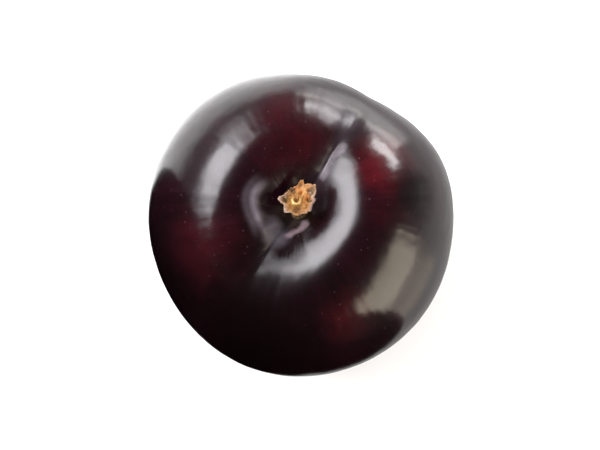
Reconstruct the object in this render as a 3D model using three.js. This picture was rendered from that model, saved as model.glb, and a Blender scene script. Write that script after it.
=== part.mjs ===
// A plum as picked: one whole fruit standing on its blossom end, with its short stalk in the hollow on top.
// Millimetres, +Z up. The suture faces -Y. The origin is the middle of the base, on the surface below it.
// The fruit is a rounded ellipsoid that a stalk cavity, a suture and a flat spot are pressed into by
// formula. The stalk is a lathed shaft that leans a little, with the flared end it was torn off the twig by.

import * as THREE from "three";
import { mergeVertices } from "three/addons/utils/BufferGeometryUtils.js";

const { degToRad, lerp, smoothstep } = THREE.MathUtils;

// The body of the fruit
const HALF_WIDTH = 28.95; // along X, across the suture
const HALF_DEPTH = 28.45; // along Y, from the suture to the back
const HALF_HEIGHT = 26.4; // along Z, before the cavity and the flat spot
const SHOULDER_POWER = 2.1; // the superellipse power of the shoulders, where 2 is a plain ellipse
const BASE_POWER = 2.08; // and of the blossom end
const SHOULDER_SPREAD = 0.088; // the shoulders are wider, and the base narrower, by this share
const LOBE_LIFT = 0.25; // the lobe on -X stands this much higher than the one on +X
const SLANT = -0.035; // how far it is skewed along X for each millimetre along Y
const SEAT_CUT = 1.0; // how deep the flat spot is pressed into the blossom end

// Beside the suture the lobe on -X swells and the lobe on +X is flatter
const SHOULDER_SWELL = 1.05;
const SHOULDER_SWELL_TURN = degToRad(-128);
const SHOULDER_HOLLOW = 1.12;
const SHOULDER_HOLLOW_TURN = degToRad(-58);
const SHOULDER_REACH = degToRad(14);

// The stalk cavity: a funnel with a rounded rim, longer towards the back than towards the suture
const CAVITY_RADIUS = 11.8; // to the middle of the rounded rim
const CAVITY_SLOPE = 0.84; // of its wall
const CAVITY_RIM = 2.07; // how gradually the shoulders turn down into it
const CAVITY_FLOOR = 1.6; // the radius of its rounded bottom
const CAVITY_STRETCH_BACK = 1.58;
const CAVITY_STRETCH_FRONT = 1.07;
const CAVITY_BLEND = 8.8; // how far from the stalk one stretch has given way to the other
const CAVITY_TURN = degToRad(-4.6); // how far the funnel is turned from the suture's line

// The suture: a broad valley between the lobes, a flatter flank below it, and a crease close to the stalk
const VALLEY_DEPTH = 0.98;
const VALLEY_WIDTH_LEFT = 8.1; // on +X
const VALLEY_WIDTH_RIGHT = 6.9; // on -X
const VALLEY_END = 11.8; // how far in front of the stalk it is at its deepest
const FLANK_DEPTH = 1.2;
const FLANK_WIDTH = 10.1;
const FLANK_END = 20.0;
const CREASE_DEPTH = 2.22;
const CREASE_WIDTH = 2.64;
const CREASE_ROUNDING = 0.18; // of its bottom, close to the stalk
const CREASE_ROUNDING_END = 1.5; // and where it opens out over the shoulder
const LINE_DEPTH = 0.12; // the faint line that carries on down to the blossom end
const LINE_WIDTH = 2.0;
const SUTURE_WANDER = -0.14; // how far it strays from the middle
const SUTURE_PHASE = -0.22;
const BACK_CREASE_DEPTH = 1.6; // the short crease on the other side of the stalk
const BACK_CREASE_WIDTH = 1.81;
const BACK_CREASE_LENGTH = 15.0;
const BACK_CREASE_BEND = -1.3; // how far its end strays

// A feature fades in from nothing at the first value of its span to all of it at the second.
// These spans are levels, from -1 at the base to 1 at the top
const POWER_SPAN = [-0.3, 0.7]; // from the blossom end's power to the shoulders'
const CAVITY_SPAN = [0, 0.4];
const LIFT_SPAN = [0, 1];
const SHOULDER_SPAN = [0.75, 0.2];
const SIDE_SPAN = [-0.95, -0.3]; // of the shoulders' swelling and of the flank, above the blossom end
const VALLEY_SPAN = [0.3, 0.85];
const VALLEY_LEAST = 0.3; // the share of the valley that is left below its span
const VALLEY_BASE_SPAN = [-0.98, -0.8];
const CREASE_SPAN = [0.45, 0.9];
const LINE_SPAN = [-0.9, -0.6];
const BACK_CREASE_SPAN = [0.2, 0.7];
const WANDER_RATE = 3.0; // of the suture's wander, in radians for each level

// And these are millimetres along Y, or across the suture for the last
const FRONT_SPAN = [2, -4]; // of all that lies in front of the stalk
const OPENING_SPAN = [-13, -21]; // where the crease's bottom grows rounder
const BEND_SPAN = [0, 12];
const BACK_CREASE_START = [0, 3];
const BACK_CREASE_END = [BACK_CREASE_LENGTH + 3, BACK_CREASE_LENGTH - 5];
const VALLEY_SIDES = [-1, 1];

// Low swellings, so that neither lobe is a true ellipsoid: a direction, a phase and a height each
const SWELLINGS = [
  { along: new THREE.Vector3(3.1, 1.2, 2.3), phase: 0.3, height: 0.16 },
  { along: new THREE.Vector3(-2.2, 3.4, 1.7), phase: 1.9, height: 0.14 },
  { along: new THREE.Vector3(4.1, -2.8, 3.6), phase: 4.2, height: 0.1 },
  { along: new THREE.Vector3(1.4, 5.2, -4.4), phase: 2.7, height: 0.07 },
];

// The stalk
const STALK_LENGTH = 5.3; // from its foot to the torn end
const SHAFT_RADIUS = 1.15;
const FOOT_RADIUS = 1.5; // where it swells to meet the fruit
const KNOB_RADIUS = 3.1; // the flared end that was joined to the twig
const KNOB_HEIGHT = 2.4;
const TORN_DEPTH = 0.7; // the hollow in the torn end
const SCALE_TIPS = 8; // ragged scales around the torn end
const SCALE_RELIEF = 0.11; // how far they stand out, as a share of the radius
const STALK_LEAN = degToRad(14); // from upright
const STALK_LEAN_TURN = degToRad(-40); // the way that it leans, from +X, between there and the suture
const GAP = 0.3; // between the stalk's foot and the cavity's floor
const NECK_HEIGHT = STALK_LENGTH - KNOB_HEIGHT;

// The stalk's outline, as radius and height, from the middle of its foot to the middle of its torn end
const STALK_OUTLINE = [
  [0, 0],
  [FOOT_RADIUS * 0.6, 0.35],
  [FOOT_RADIUS, 0.9],
  [SHAFT_RADIUS * 1.1, 1.7],
  [SHAFT_RADIUS, NECK_HEIGHT * 0.7],
  [SHAFT_RADIUS * 1.08, NECK_HEIGHT],
  [KNOB_RADIUS * 0.86, NECK_HEIGHT + KNOB_HEIGHT * 0.45],
  [KNOB_RADIUS, NECK_HEIGHT + KNOB_HEIGHT * 0.8],
  [KNOB_RADIUS * 0.8, STALK_LENGTH],
  [KNOB_RADIUS * 0.35, STALK_LENGTH - TORN_DEPTH],
  [0, STALK_LENGTH - TORN_DEPTH],
];

// The torn end is lopsided as well: waves around it, their phase, and their share of the scales or height
const RAGGED_SPAN = [NECK_HEIGHT, STALK_LENGTH - KNOB_HEIGHT * 0.3];
const LOPSIDED = { waves: 3, phase: 1.1, share: 0.6 };
const UNEVEN = { waves: 2, phase: 0.4, height: 0.25 };

// How finely they are faceted
const FRUIT_COLUMNS = 84;
const FRUIT_RINGS = 52;
const RINGS_TO_TOP = 1.22; // above 1, rings crowd towards the cavity
const COLUMNS_TO_SUTURE = 0.32; // above 0, columns crowd towards the suture and the crease behind the stalk
const STALK_SIDES = 24;
const STALK_STEPS = 22; // along its outline

const SKIN = { color: 0x2a0d14, roughness: 0.24, metalness: 0.0 };
const STALK = { color: 0xa8743a, roughness: 0.75, metalness: 0.0 };

/** A ramp from 0 at the value `from` to 1 at the value `to`, which may be the lower of the two. */
function ramp(value, from, to) {
  return from < to ? smoothstep(value, from, to) : 1 - smoothstep(value, to, from);
}

/** The suture's valley, its crease and the short crease behind the stalk: how deep they lie at a point. */
function sutureDepth(point, level) {
  const wander = SUTURE_WANDER * Math.sin(WANDER_RATE * level + SUTURE_PHASE);
  const across = point.x + wander + BACK_CREASE_BEND * ramp(point.y, ...BEND_SPAN);
  const rounding = lerp(CREASE_ROUNDING, CREASE_ROUNDING_END, ramp(point.y, ...OPENING_SPAN));
  const sharp = Math.hypot(across, rounding);
  const front = ramp(point.y, ...FRONT_SPAN);
  const fade = lerp(VALLEY_LEAST, 1, ramp(level, ...VALLEY_SPAN)) * ramp(level, ...VALLEY_BASE_SPAN);
  const width = lerp(VALLEY_WIDTH_RIGHT, VALLEY_WIDTH_LEFT, ramp(across, ...VALLEY_SIDES));
  const valley = VALLEY_DEPTH * Math.exp(-((across / width) ** 2)) * ramp(point.y, 0, -VALLEY_END) * fade;
  const low = ramp(point.y, 0, -FLANK_END) * ramp(level, ...SIDE_SPAN);
  const flank = FLANK_DEPTH * Math.exp(-((across / FLANK_WIDTH) ** 2)) * low;
  const crease = CREASE_DEPTH * Math.exp(-sharp / CREASE_WIDTH) * ramp(level, ...CREASE_SPAN);
  const line = LINE_DEPTH * Math.exp(-((across / LINE_WIDTH) ** 2)) * ramp(level, ...LINE_SPAN);
  const behind = BACK_CREASE_DEPTH * Math.exp(-sharp / BACK_CREASE_WIDTH) * ramp(level, ...BACK_CREASE_SPAN);
  const reach = ramp(point.y, ...BACK_CREASE_START) * ramp(point.y, ...BACK_CREASE_END);
  return front * (valley + flank + crease + line) + behind * reach;
}

/** How far the lobes stand out beside the suture in a direction. */
function shoulderHeight(direction, level) {
  const turn = Math.atan2(direction.y, direction.x);
  const share = (middle) => Math.exp((Math.cos(turn - middle) - 1) / SHOULDER_REACH ** 2);
  const height = SHOULDER_SWELL * share(SHOULDER_SWELL_TURN) - SHOULDER_HOLLOW * share(SHOULDER_HOLLOW_TURN);
  return height * ramp(level, ...SHOULDER_SPAN) * ramp(level, ...SIDE_SPAN);
}

/** How deep the funnel round the stalk lies at a point of the body. */
function cavityDepth(point, level) {
  const backward = ramp(point.y, -CAVITY_BLEND, CAVITY_BLEND);
  const stretch = lerp(CAVITY_STRETCH_FRONT, CAVITY_STRETCH_BACK, backward);
  const across = point.x * Math.cos(CAVITY_TURN) + point.y * Math.sin(CAVITY_TURN);
  const along = point.y * Math.cos(CAVITY_TURN) - point.x * Math.sin(CAVITY_TURN);
  const radius = Math.hypot(across, along / stretch, CAVITY_FLOOR);
  const inside = Math.log1p(Math.exp((CAVITY_RADIUS - radius) / CAVITY_RIM));
  return CAVITY_SLOPE * CAVITY_RIM * inside * ramp(level, ...CAVITY_SPAN);
}

/** The point of the skin that lies in a direction from the middle of the fruit, with the base at Z = 0. */
function skinPoint(direction) {
  const power = lerp(BASE_POWER, SHOULDER_POWER, ramp(direction.z, ...POWER_SPAN));
  const round = Math.hypot(direction.x, direction.y);
  const reach = (round ** power + Math.abs(direction.z) ** power) ** (-1 / power);
  const level = direction.z * reach; // -1 at the base, 1 at the top
  const spread = 1 + SHOULDER_SPREAD * level;
  const point = new THREE.Vector3(
    direction.x * reach * HALF_WIDTH * spread,
    direction.y * reach * HALF_DEPTH * spread,
    level * HALF_HEIGHT - LOBE_LIFT * direction.x * reach * ramp(level, ...LIFT_SPAN),
  );
  point.z -= cavityDepth(point, level);
  let outward = shoulderHeight(direction, level) - sutureDepth(point, level);
  for (const { along, phase, height } of SWELLINGS) {
    outward += height * Math.sin(along.dot(direction) + phase);
  }
  point.addScaledVector(direction, outward);
  point.x += SLANT * point.y;
  point.z = Math.max(point.z + HALF_HEIGHT - SEAT_CUT, 0);
  return point;
}

/** The whole fruit: a sphere's grid, crowded where the shape is finest, with each point set on the skin. */
function fruitGeometry() {
  const sphere = new THREE.SphereGeometry(1, FRUIT_COLUMNS, FRUIT_RINGS).rotateX(Math.PI / 2);
  sphere.deleteAttribute("normal");
  sphere.deleteAttribute("uv");
  const geometry = mergeVertices(sphere);
  const position = geometry.getAttribute("position");
  const direction = new THREE.Vector3();
  const polar = new THREE.Spherical();
  for (let i = 0; i < position.count; i += 1) {
    direction.fromBufferAttribute(position, i);
    // A Spherical's phi is measured from +Y and its theta from +Z, so the axes are turned there and back
    polar.setFromCartesianCoords(direction.x, direction.z, direction.y);
    polar.phi = Math.PI * (polar.phi / Math.PI) ** RINGS_TO_TOP;
    polar.theta -= (COLUMNS_TO_SUTURE / 2) * Math.sin(2 * polar.theta);
    direction.setFromSpherical(polar);
    direction.set(direction.x, direction.z, direction.y);
    position.setXYZ(i, ...skinPoint(direction).toArray());
  }
  geometry.computeVertexNormals();
  return geometry;
}

/** A smooth line through the stalk's outline, closed on the axis at both ends. */
function smoothOutline() {
  const corners = STALK_OUTLINE.map(([radius, height]) => new THREE.Vector3(radius, height));
  const curve = new THREE.CatmullRomCurve3(corners);
  const points = curve.getPoints(STALK_STEPS).map(({ x, y }) => new THREE.Vector2(Math.max(x, 0), y));
  points[0].x = 0;
  points[points.length - 1].x = 0;
  return points;
}

/** The stalk with its foot at the origin: lathed, its end pulled out into ragged scales, then leant. */
function stalkGeometry() {
  const lathed = new THREE.LatheGeometry(smoothOutline(), STALK_SIDES).rotateX(Math.PI / 2);
  lathed.deleteAttribute("normal");
  lathed.deleteAttribute("uv");
  const geometry = mergeVertices(lathed);
  const position = geometry.getAttribute("position");
  for (let i = 0; i < position.count; i += 1) {
    const [x, y, z] = [position.getX(i), position.getY(i), position.getZ(i)];
    const turn = Math.atan2(y, x);
    const ragged = ramp(z, ...RAGGED_SPAN);
    const lopsided = LOPSIDED.share * Math.sin(LOPSIDED.waves * turn + LOPSIDED.phase);
    const wider = 1 + SCALE_RELIEF * ragged * (Math.sin(SCALE_TIPS * turn) + lopsided);
    const higher = UNEVEN.height * ragged * Math.sin(UNEVEN.waves * turn + UNEVEN.phase);
    position.setXYZ(i, x * wider, y * wider, z + higher);
  }
  geometry.rotateZ(-STALK_LEAN_TURN).rotateY(STALK_LEAN).rotateZ(STALK_LEAN_TURN);
  geometry.computeVertexNormals();
  return geometry;
}

/** A named mesh with a material of its own. */
function makeMesh(name, geometry, look) {
  const mesh = new THREE.Mesh(geometry, new THREE.MeshStandardMaterial(look));
  mesh.name = name;
  return mesh;
}

const fruit = makeMesh("fruit", fruitGeometry(), SKIN);
const stem = makeMesh("stem", stalkGeometry(), STALK);
stem.position.z = skinPoint(new THREE.Vector3(0, 0, 1)).z + GAP;

const plum = new THREE.Group();
plum.add(fruit, stem);

// The origin goes to the middle of the whole plum's box, with the base left at Z = 0
plum.updateMatrixWorld(true);
const middle = new THREE.Box3().setFromObject(plum).getCenter(new THREE.Vector3());
plum.position.set(-middle.x, -middle.y, 0);

export default plum;
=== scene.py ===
"""A ripe dark plum, standing on its blossom end on a white table, seen from almost straight above its stalk.

The fruit's skin is a formula surface made by Geometry Nodes: a rounded ellipsoid, with the stalk cavity, the
suture and the flat spot pressed in. The stalk is a mesh of rings with a torn, flared end, and Geometry Nodes
set the loose scales and splinters on it. Shapes are worked out in millimetres, and meshes are left in metres.
"""

from __future__ import annotations

import logging
import math
from dataclasses import dataclass, field, fields
from enum import Enum
from typing import Callable, Mapping, Sequence

import bpy
from mathutils import Matrix, Vector, noise


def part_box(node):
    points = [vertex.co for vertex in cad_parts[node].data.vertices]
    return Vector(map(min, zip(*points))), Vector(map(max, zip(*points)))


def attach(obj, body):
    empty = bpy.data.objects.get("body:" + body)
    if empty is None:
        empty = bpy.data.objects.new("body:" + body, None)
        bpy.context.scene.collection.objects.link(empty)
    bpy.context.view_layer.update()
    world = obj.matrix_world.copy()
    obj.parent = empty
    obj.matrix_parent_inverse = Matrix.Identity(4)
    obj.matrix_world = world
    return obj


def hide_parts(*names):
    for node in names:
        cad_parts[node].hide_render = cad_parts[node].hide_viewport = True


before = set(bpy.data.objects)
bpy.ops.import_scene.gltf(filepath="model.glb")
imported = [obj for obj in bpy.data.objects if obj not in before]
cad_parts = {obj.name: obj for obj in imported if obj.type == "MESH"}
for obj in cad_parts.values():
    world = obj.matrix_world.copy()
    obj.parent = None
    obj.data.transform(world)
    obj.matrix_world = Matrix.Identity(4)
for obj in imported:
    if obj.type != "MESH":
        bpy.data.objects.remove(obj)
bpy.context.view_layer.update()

MM = 0.001
DEGREE = math.pi / 180
TINY = 1e-6
UP = Vector((0.0, 0.0, 1.0))
ROOT = "root"
LOG = logging.getLogger("plum")

Colour = tuple[float, float, float]
Place = tuple[float, float, float]
Span = tuple[float, float]
Relief = tuple[float, float]
Number = "Term | float"


class Slot(Enum):
    """The material slots."""

    SKIN = "skin"
    STALK = "stalk"


class Curve(Enum):
    """How a ramp goes from one end to the other."""

    STRAIGHT = "LINEAR"
    SMOOTH = "SMOOTHSTEP"


# --------------------------------------------------------------------------------------------------
# Arithmetic on node sockets
# --------------------------------------------------------------------------------------------------


def plug(tree: bpy.types.NodeTree, value: object, socket: bpy.types.NodeSocket) -> None:
    """Gives a socket its value.

    Args:
        tree: The tree that the socket is in.
        value: A Term or a socket, which is linked, or a plain value, which is set.
        socket: The input.
    """
    if isinstance(value, Term):
        value = value.source
    if isinstance(value, bpy.types.NodeSocket):
        tree.links.new(value, socket)
    else:
        socket.default_value = value


class Term:
    """A number or a vector that varies over a surface, with arithmetic that adds math nodes to its tree."""

    def __init__(self, tree: bpy.types.NodeTree, source: bpy.types.NodeSocket) -> None:
        """Wraps an output socket of the tree."""
        self.tree = tree
        self.source = source

    def math(self, operation: str, *others: Number) -> "Term":
        """Adds a math node.

        Args:
            operation: The math node's operation.
            others: The operation's further operands.

        Returns:
            The node's result.
        """
        node = self.tree.nodes.new("ShaderNodeMath")
        node.operation = operation
        for socket, value in zip(node.inputs, (self, *others)):
            plug(self.tree, value, socket)
        return Term(self.tree, node.outputs[0])

    def __add__(self, other: Number) -> "Term":
        """The sum."""
        return self.math("ADD", other)

    def __radd__(self, other: float) -> "Term":
        """The sum, with a plain number first."""
        return self.math("ADD", other)

    def __sub__(self, other: Number) -> "Term":
        """The difference."""
        return self.math("SUBTRACT", other)

    def __rsub__(self, other: float) -> "Term":
        """The difference from a plain number."""
        return self.math("MULTIPLY_ADD", -1.0, other)

    def __mul__(self, other: Number) -> "Term":
        """The product."""
        return self.math("MULTIPLY", other)

    def __rmul__(self, other: float) -> "Term":
        """The product, with a plain number first."""
        return self.math("MULTIPLY", other)

    def __truediv__(self, other: Number) -> "Term":
        """The quotient."""
        return self.math("DIVIDE", other)

    def __neg__(self) -> "Term":
        """The negative."""
        return self.math("MULTIPLY", -1.0)

    def __pow__(self, other: Number) -> "Term":
        """The power."""
        return self.math("POWER", other)

    def ramp(self, start: Number, end: Number, curve: Curve = Curve.SMOOTH) -> "Term":
        """Turns the value into 0 at start, 1 at end and a gradual rise between. Start may be above the end.

        Args:
            start: The value that gives 0.
            end: The value that gives 1.
            curve: How it rises between them.

        Returns:
            The result, from 0 to 1.
        """
        node = self.tree.nodes.new("ShaderNodeMapRange")
        node.interpolation_type = curve.value
        node.clamp = True
        for name, value in (("Value", self), ("From Min", start), ("From Max", end)):
            plug(self.tree, value, node.inputs[name])
        return Term(self.tree, node.outputs["Result"])

    def positive(self) -> "Term":
        """The value, kept just above zero, so that it can be divided by."""
        return self.math("MAXIMUM", TINY)

    def capped(self) -> "Term":
        """The value, but no more than 1."""
        return self.math("MINIMUM", 1.0)

    def axes(self) -> tuple["Term", "Term", "Term"]:
        """Splits a vector.

        Returns:
            Its three coordinates.
        """
        node = self.tree.nodes.new("ShaderNodeSeparateXYZ")
        plug(self.tree, self, node.inputs[0])
        return tuple(Term(self.tree, out) for out in node.outputs)

    def arrow(self, operation: str, *others: "Term | Sequence[float] | float") -> "Term":
        """Adds a vector math node.

        Args:
            operation: The vector math node's operation.
            others: The operation's further operands.

        Returns:
            The node's result, a vector or a number.
        """
        node = self.tree.nodes.new("ShaderNodeVectorMath")
        node.operation = operation
        sockets = [socket for socket in node.inputs if socket.enabled]
        for socket, value in zip(sockets, (self, *others)):
            plug(self.tree, value, socket)
        return Term(self.tree, next(socket for socket in node.outputs if socket.enabled))


def vector(x: Term, y: Number, z: Number) -> Term:
    """Joins three coordinates into a vector.

    Args:
        x: The first, which says what tree the vector is in.
        y: The second.
        z: The third.

    Returns:
        The vector.
    """
    node = x.tree.nodes.new("ShaderNodeCombineXYZ")
    for socket, value in zip(node.inputs, (x, y, z)):
        plug(x.tree, value, socket)
    return Term(x.tree, node.outputs[0])


def mix(low: Number, high: Number, share: Term) -> Term:
    """Goes part of the way from one value to another.

    Args:
        low: The value where the share is 0.
        high: The value where the share is 1.
        share: How far to go.

    Returns:
        The value that lies there.
    """
    if isinstance(low, Term):
        return (high - low) * share + low
    return share * (high - low) + low


def hypotenuse(*sides: Number) -> Term:
    """Adds lengths that are square to each other.

    Args:
        sides: The lengths, of which the first is a Term.

    Returns:
        The square root of the sum of their squares.
    """
    total = sides[0] * sides[0]
    for side in sides[1:]:
        total = total + side * side
    return total.math("SQRT")


def bell(value: Term, width: Number) -> Term:
    """A smooth bump: 1 where the value is 0, and falling away over the width."""
    share = value / width
    return (-(share * share)).math("EXPONENT")


def cusp(value: Term, width: Number) -> Term:
    """A sharp crest: 1 where the value is 0, and falling away at once over the width, for values above 0."""
    return (-(value / width)).math("EXPONENT")


def at_least(least: Number, mask: Term) -> Term:
    """The mask, from 0 to 1, squeezed so that it goes from least to 1."""
    return mask * (1.0 - least) + least


@dataclass(frozen=True)
class Grain:
    """A noise pattern, for a geometry or a shader tree."""

    scale: float = 1.0  # how many cells a unit of the point holds
    detail: float = 2.0  # how many finer layers are added
    roughness: float = 0.5  # how strong they are
    distortion: float = 0.0  # how far the pattern is warped

    def on(self, point: Term, scale: Term | None = None) -> Term:
        """Places the pattern.

        Args:
            point: Where it is read.
            scale: What the scale follows, in place of the pattern's own.

        Returns:
            The noise, from 0 to 1 with its middle at 0.5.
        """
        node = point.tree.nodes.new("ShaderNodeTexNoise")
        node.noise_dimensions = "3D"
        given = (point, self.scale if scale is None else scale, self.detail, self.roughness, self.distortion)
        for name, value in zip(("Vector", "Scale", "Detail", "Roughness", "Distortion"), given):
            plug(point.tree, value, node.inputs[name])
        return Term(point.tree, node.outputs[0])


# --------------------------------------------------------------------------------------------------
# Objects and Geometry Nodes
# --------------------------------------------------------------------------------------------------


def add_object(name: str, mesh: bpy.types.Mesh | None = None) -> bpy.types.Object:
    """Makes an object at the origin and links it to the scene.

    Args:
        name: The object's name.
        mesh: Its mesh, or None for an empty mesh.

    Returns:
        The object.
    """
    piece = bpy.data.objects.new(name, mesh or bpy.data.meshes.new(name))
    bpy.context.scene.collection.objects.link(piece)
    return piece


class Recipe:
    """A Geometry Nodes tree with named inputs, which is run once to leave a plain mesh."""

    def __init__(self, name: str) -> None:
        """Starts an empty tree that puts out a geometry.

        Args:
            name: What the tree and its piece are called.
        """
        self.name = name
        self.tree = bpy.data.node_groups.new(name, "GeometryNodeTree")
        self.tree.interface.new_socket("Geometry", in_out="OUTPUT", socket_type="NodeSocketGeometry")
        self.entry = self.tree.nodes.new("NodeGroupInput")
        self.exit = self.tree.nodes.new("NodeGroupOutput")
        self.settings: dict[str, object] = {}

    def setting(self, name: str, value: float | int | bpy.types.Material | bpy.types.Object) -> Term:
        """Adds a named input and remembers what it is set to.

        Args:
            name: The input's name.
            value: A number, a material or an object.

        Returns:
            The input, for use in the tree.
        """
        kinds = {int: "Int", float: "Float", bpy.types.Material: "Material", bpy.types.Object: "Object"}
        kind = "NodeSocket" + next(word for sort, word in kinds.items() if isinstance(value, sort))
        socket = self.tree.interface.new_socket(name, in_out="INPUT", socket_type=kind)
        self.settings[socket.identifier] = value
        return Term(self.tree, self.entry.outputs[name])

    def node(self, kind: str, **values: object) -> bpy.types.Node:
        """Adds a node.

        Args:
            kind: The node's type.
            values: What its inputs are given, by name, with an underscore for each space.

        Returns:
            The node.
        """
        node = self.tree.nodes.new(kind)
        for name, value in values.items():
            plug(self.tree, value, node.inputs[name.replace("_", " ")])
        return node

    def field(self, kind: str) -> Term:
        """The first output of a field node with no inputs, such as the position."""
        return Term(self.tree, self.tree.nodes.new(kind).outputs[0])

    def stored(self, name: str) -> Term:
        """A value that the mesh keeps on its points."""
        node = self.node("GeometryNodeInputNamedAttribute", Name=name)
        return Term(self.tree, next(socket for socket in node.outputs if socket.enabled))

    def chance(self, low: float, high: float, seed: Number) -> Term:
        """A random number for each point.

        Args:
            low: The least that it can be.
            high: The most that it can be.
            seed: The random seed.

        Returns:
            The number.
        """
        node = self.tree.nodes.new("FunctionNodeRandomValue")
        node.data_type = "FLOAT"
        limits = [socket for socket in node.inputs if socket.enabled and socket.name in ("Min", "Max")]
        for socket, value in zip(limits, (low, high)):
            socket.default_value = value
        plug(self.tree, seed, node.inputs["Seed"])
        return Term(self.tree, next(socket for socket in node.outputs if socket.enabled))

    def remember(self, geometry: bpy.types.NodeSocket, name: str, value: Number) -> bpy.types.NodeSocket:
        """Stores a value on every point, for the material to read.

        Args:
            geometry: The mesh so far.
            name: The attribute's name.
            value: What each point keeps.

        Returns:
            The mesh with the attribute.
        """
        node = self.node("GeometryNodeStoreNamedAttribute", Geometry=geometry, Name=name, Value=value)
        node.data_type = "FLOAT"
        node.domain = "POINT"
        return node.outputs["Geometry"]

    def finish(self, geometry: bpy.types.NodeSocket, material: Term) -> None:
        """Ends the tree: real faces only, shaded smooth, in one material.

        Args:
            geometry: The finished shape.
            material: The input that holds its material.
        """
        real = self.node("GeometryNodeRealizeInstances", Geometry=geometry)
        smooth = self.node("GeometryNodeSetShadeSmooth", Geometry=real.outputs[0])
        dressed = self.node("GeometryNodeSetMaterial", Geometry=smooth.outputs[0], Material=material)
        self.tree.links.new(dressed.outputs[0], self.exit.inputs["Geometry"])

    def cook(self) -> bpy.types.Object:
        """Runs the tree.

        Returns:
            A new object with the result as its own plain mesh, and no modifier.
        """
        stand_in = add_object(self.name + "_recipe")
        modifier = stand_in.modifiers.new(self.name, "NODES")
        modifier.node_group = self.tree
        for identifier, value in self.settings.items():
            modifier[identifier] = value
        graph = bpy.context.evaluated_depsgraph_get()
        mesh = bpy.data.meshes.new_from_object(
            stand_in.evaluated_get(graph), preserve_all_data_layers=True, depsgraph=graph
        )
        mesh.name = self.name
        stand_in.modifiers.remove(modifier)
        bpy.data.objects.remove(stand_in)
        return add_object(self.name, mesh)


# --------------------------------------------------------------------------------------------------
# Effects that several finishes share
# --------------------------------------------------------------------------------------------------


class Effect:
    """A shader node group with named inputs and one output, built once and placed in any material."""

    name = "effect"
    inputs: Mapping[str, float] = {}

    def __init__(self) -> None:
        """Builds the group."""
        self.tree = bpy.data.node_groups.new(self.name, "ShaderNodeTree")
        face = self.tree.interface
        face.new_socket("Point", in_out="INPUT", socket_type="NodeSocketVector")
        for name, value in self.inputs.items():
            face.new_socket(name, in_out="INPUT", socket_type="NodeSocketFloat").default_value = value
        face.new_socket("Mask", in_out="OUTPUT", socket_type="NodeSocketFloat")
        entry = self.tree.nodes.new("NodeGroupInput")
        leave = self.tree.nodes.new("NodeGroupOutput")
        sockets = {name: Term(self.tree, entry.outputs[name]) for name in self.inputs}
        mask = self.rule(Term(self.tree, entry.outputs["Point"]), sockets)
        self.tree.links.new(mask.source, leave.inputs["Mask"])

    def rule(self, point: Term, given: Mapping[str, Term]) -> Term:
        """Works the mask out from the point and the named inputs."""
        raise NotImplementedError

    def place(self, point: Term, **values: Number) -> Term:
        """Puts the group in a material.

        Args:
            point: The surface point, in the material's tree.
            values: The group's inputs by name, with an underscore for each space.

        Returns:
            The mask.
        """
        node = point.tree.nodes.new("ShaderNodeGroup")
        node.node_tree = self.tree
        plug(point.tree, point, node.inputs["Point"])
        for name, value in values.items():
            plug(point.tree, value, node.inputs[name.replace("_", " ")])
        return Term(point.tree, node.outputs["Mask"])


class Streaks(Effect):
    """Marks that run from end to end around an upright axis, like a fruit's meridians or a stalk's fibres."""

    name = "streaks"
    inputs = {"Turns": 9.0, "Climb": 20.0, "Low": 0.42, "High": 0.62}
    pattern = Grain(1.0, 4.0, 0.6, 0.3)
    least_radius = 0.05 * MM

    def rule(self, point: Term, given: Mapping[str, Term]) -> Term:
        """Noise on a cylinder: quick around the axis and slow along it.

        Args:
            point: The surface point.
            given: The group's inputs.

        Returns:
            The mask.
        """
        x, y, z = point.axes()
        out = hypotenuse(x, y, self.least_radius)
        turns = given["Turns"]
        around = vector(x / out * turns, y / out * turns, z * given["Climb"])
        return self.pattern.on(around).ramp(given["Low"], given["High"])


class Bloom(Effect):
    """Pale wax dust in cloudy patches with a fine grain, rubbed thin in places."""

    name = "bloom"
    inputs = {"Cover": 0.5, "Cloud": 90.0, "Grain": 1400.0}
    clouds = Grain(1.0, 5.0, 0.62, 0.6)
    dust = Grain(1.0, 2.0, 0.6)
    dust_share = 0.35
    span: Span = (0.38, 0.82)

    def rule(self, point: Term, given: Mapping[str, Term]) -> Term:
        """Broad clouds, broken up by a finer grain.

        Args:
            point: The surface point.
            given: The group's inputs.

        Returns:
            The mask.
        """
        cloud = self.clouds.on(point, given["Cloud"])
        grain = self.dust.on(point, given["Grain"])
        level = cloud + (grain - 0.5) * self.dust_share + given["Cover"] - 0.5
        return level.ramp(*self.span)


class Dots(Effect):
    """Small round breathing pores, scattered and of different sizes."""

    name = "dots"
    inputs = {"Density": 700.0, "Size": 0.2, "Share": 0.5}
    smallest = 0.3  # as a share of the size
    edge: Span = (1.0, 0.55)
    cut = 0.02

    def rule(self, point: Term, given: Mapping[str, Term]) -> Term:
        """One dot in some of a Voronoi pattern's cells.

        Args:
            point: The surface point.
            given: The group's inputs.

        Returns:
            The mask.
        """
        tree = point.tree
        cells = tree.nodes.new("ShaderNodeTexVoronoi")
        cells.feature = "F1"
        plug(tree, point, cells.inputs["Vector"])
        plug(tree, given["Density"], cells.inputs["Scale"])
        chance = Term(tree, cells.outputs["Color"]).axes()
        reach = given["Size"] * at_least(self.smallest, chance[0])
        dot = (Term(tree, cells.outputs["Distance"]) / reach).ramp(*self.edge)
        return dot * chance[1].ramp(given["Share"], given["Share"] - self.cut)


@dataclass(frozen=True)
class Effects:
    """The shared effects, each built once."""

    streaks: Streaks
    bloom: Bloom
    dots: Dots


# --------------------------------------------------------------------------------------------------
# Finishes
# --------------------------------------------------------------------------------------------------


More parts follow.
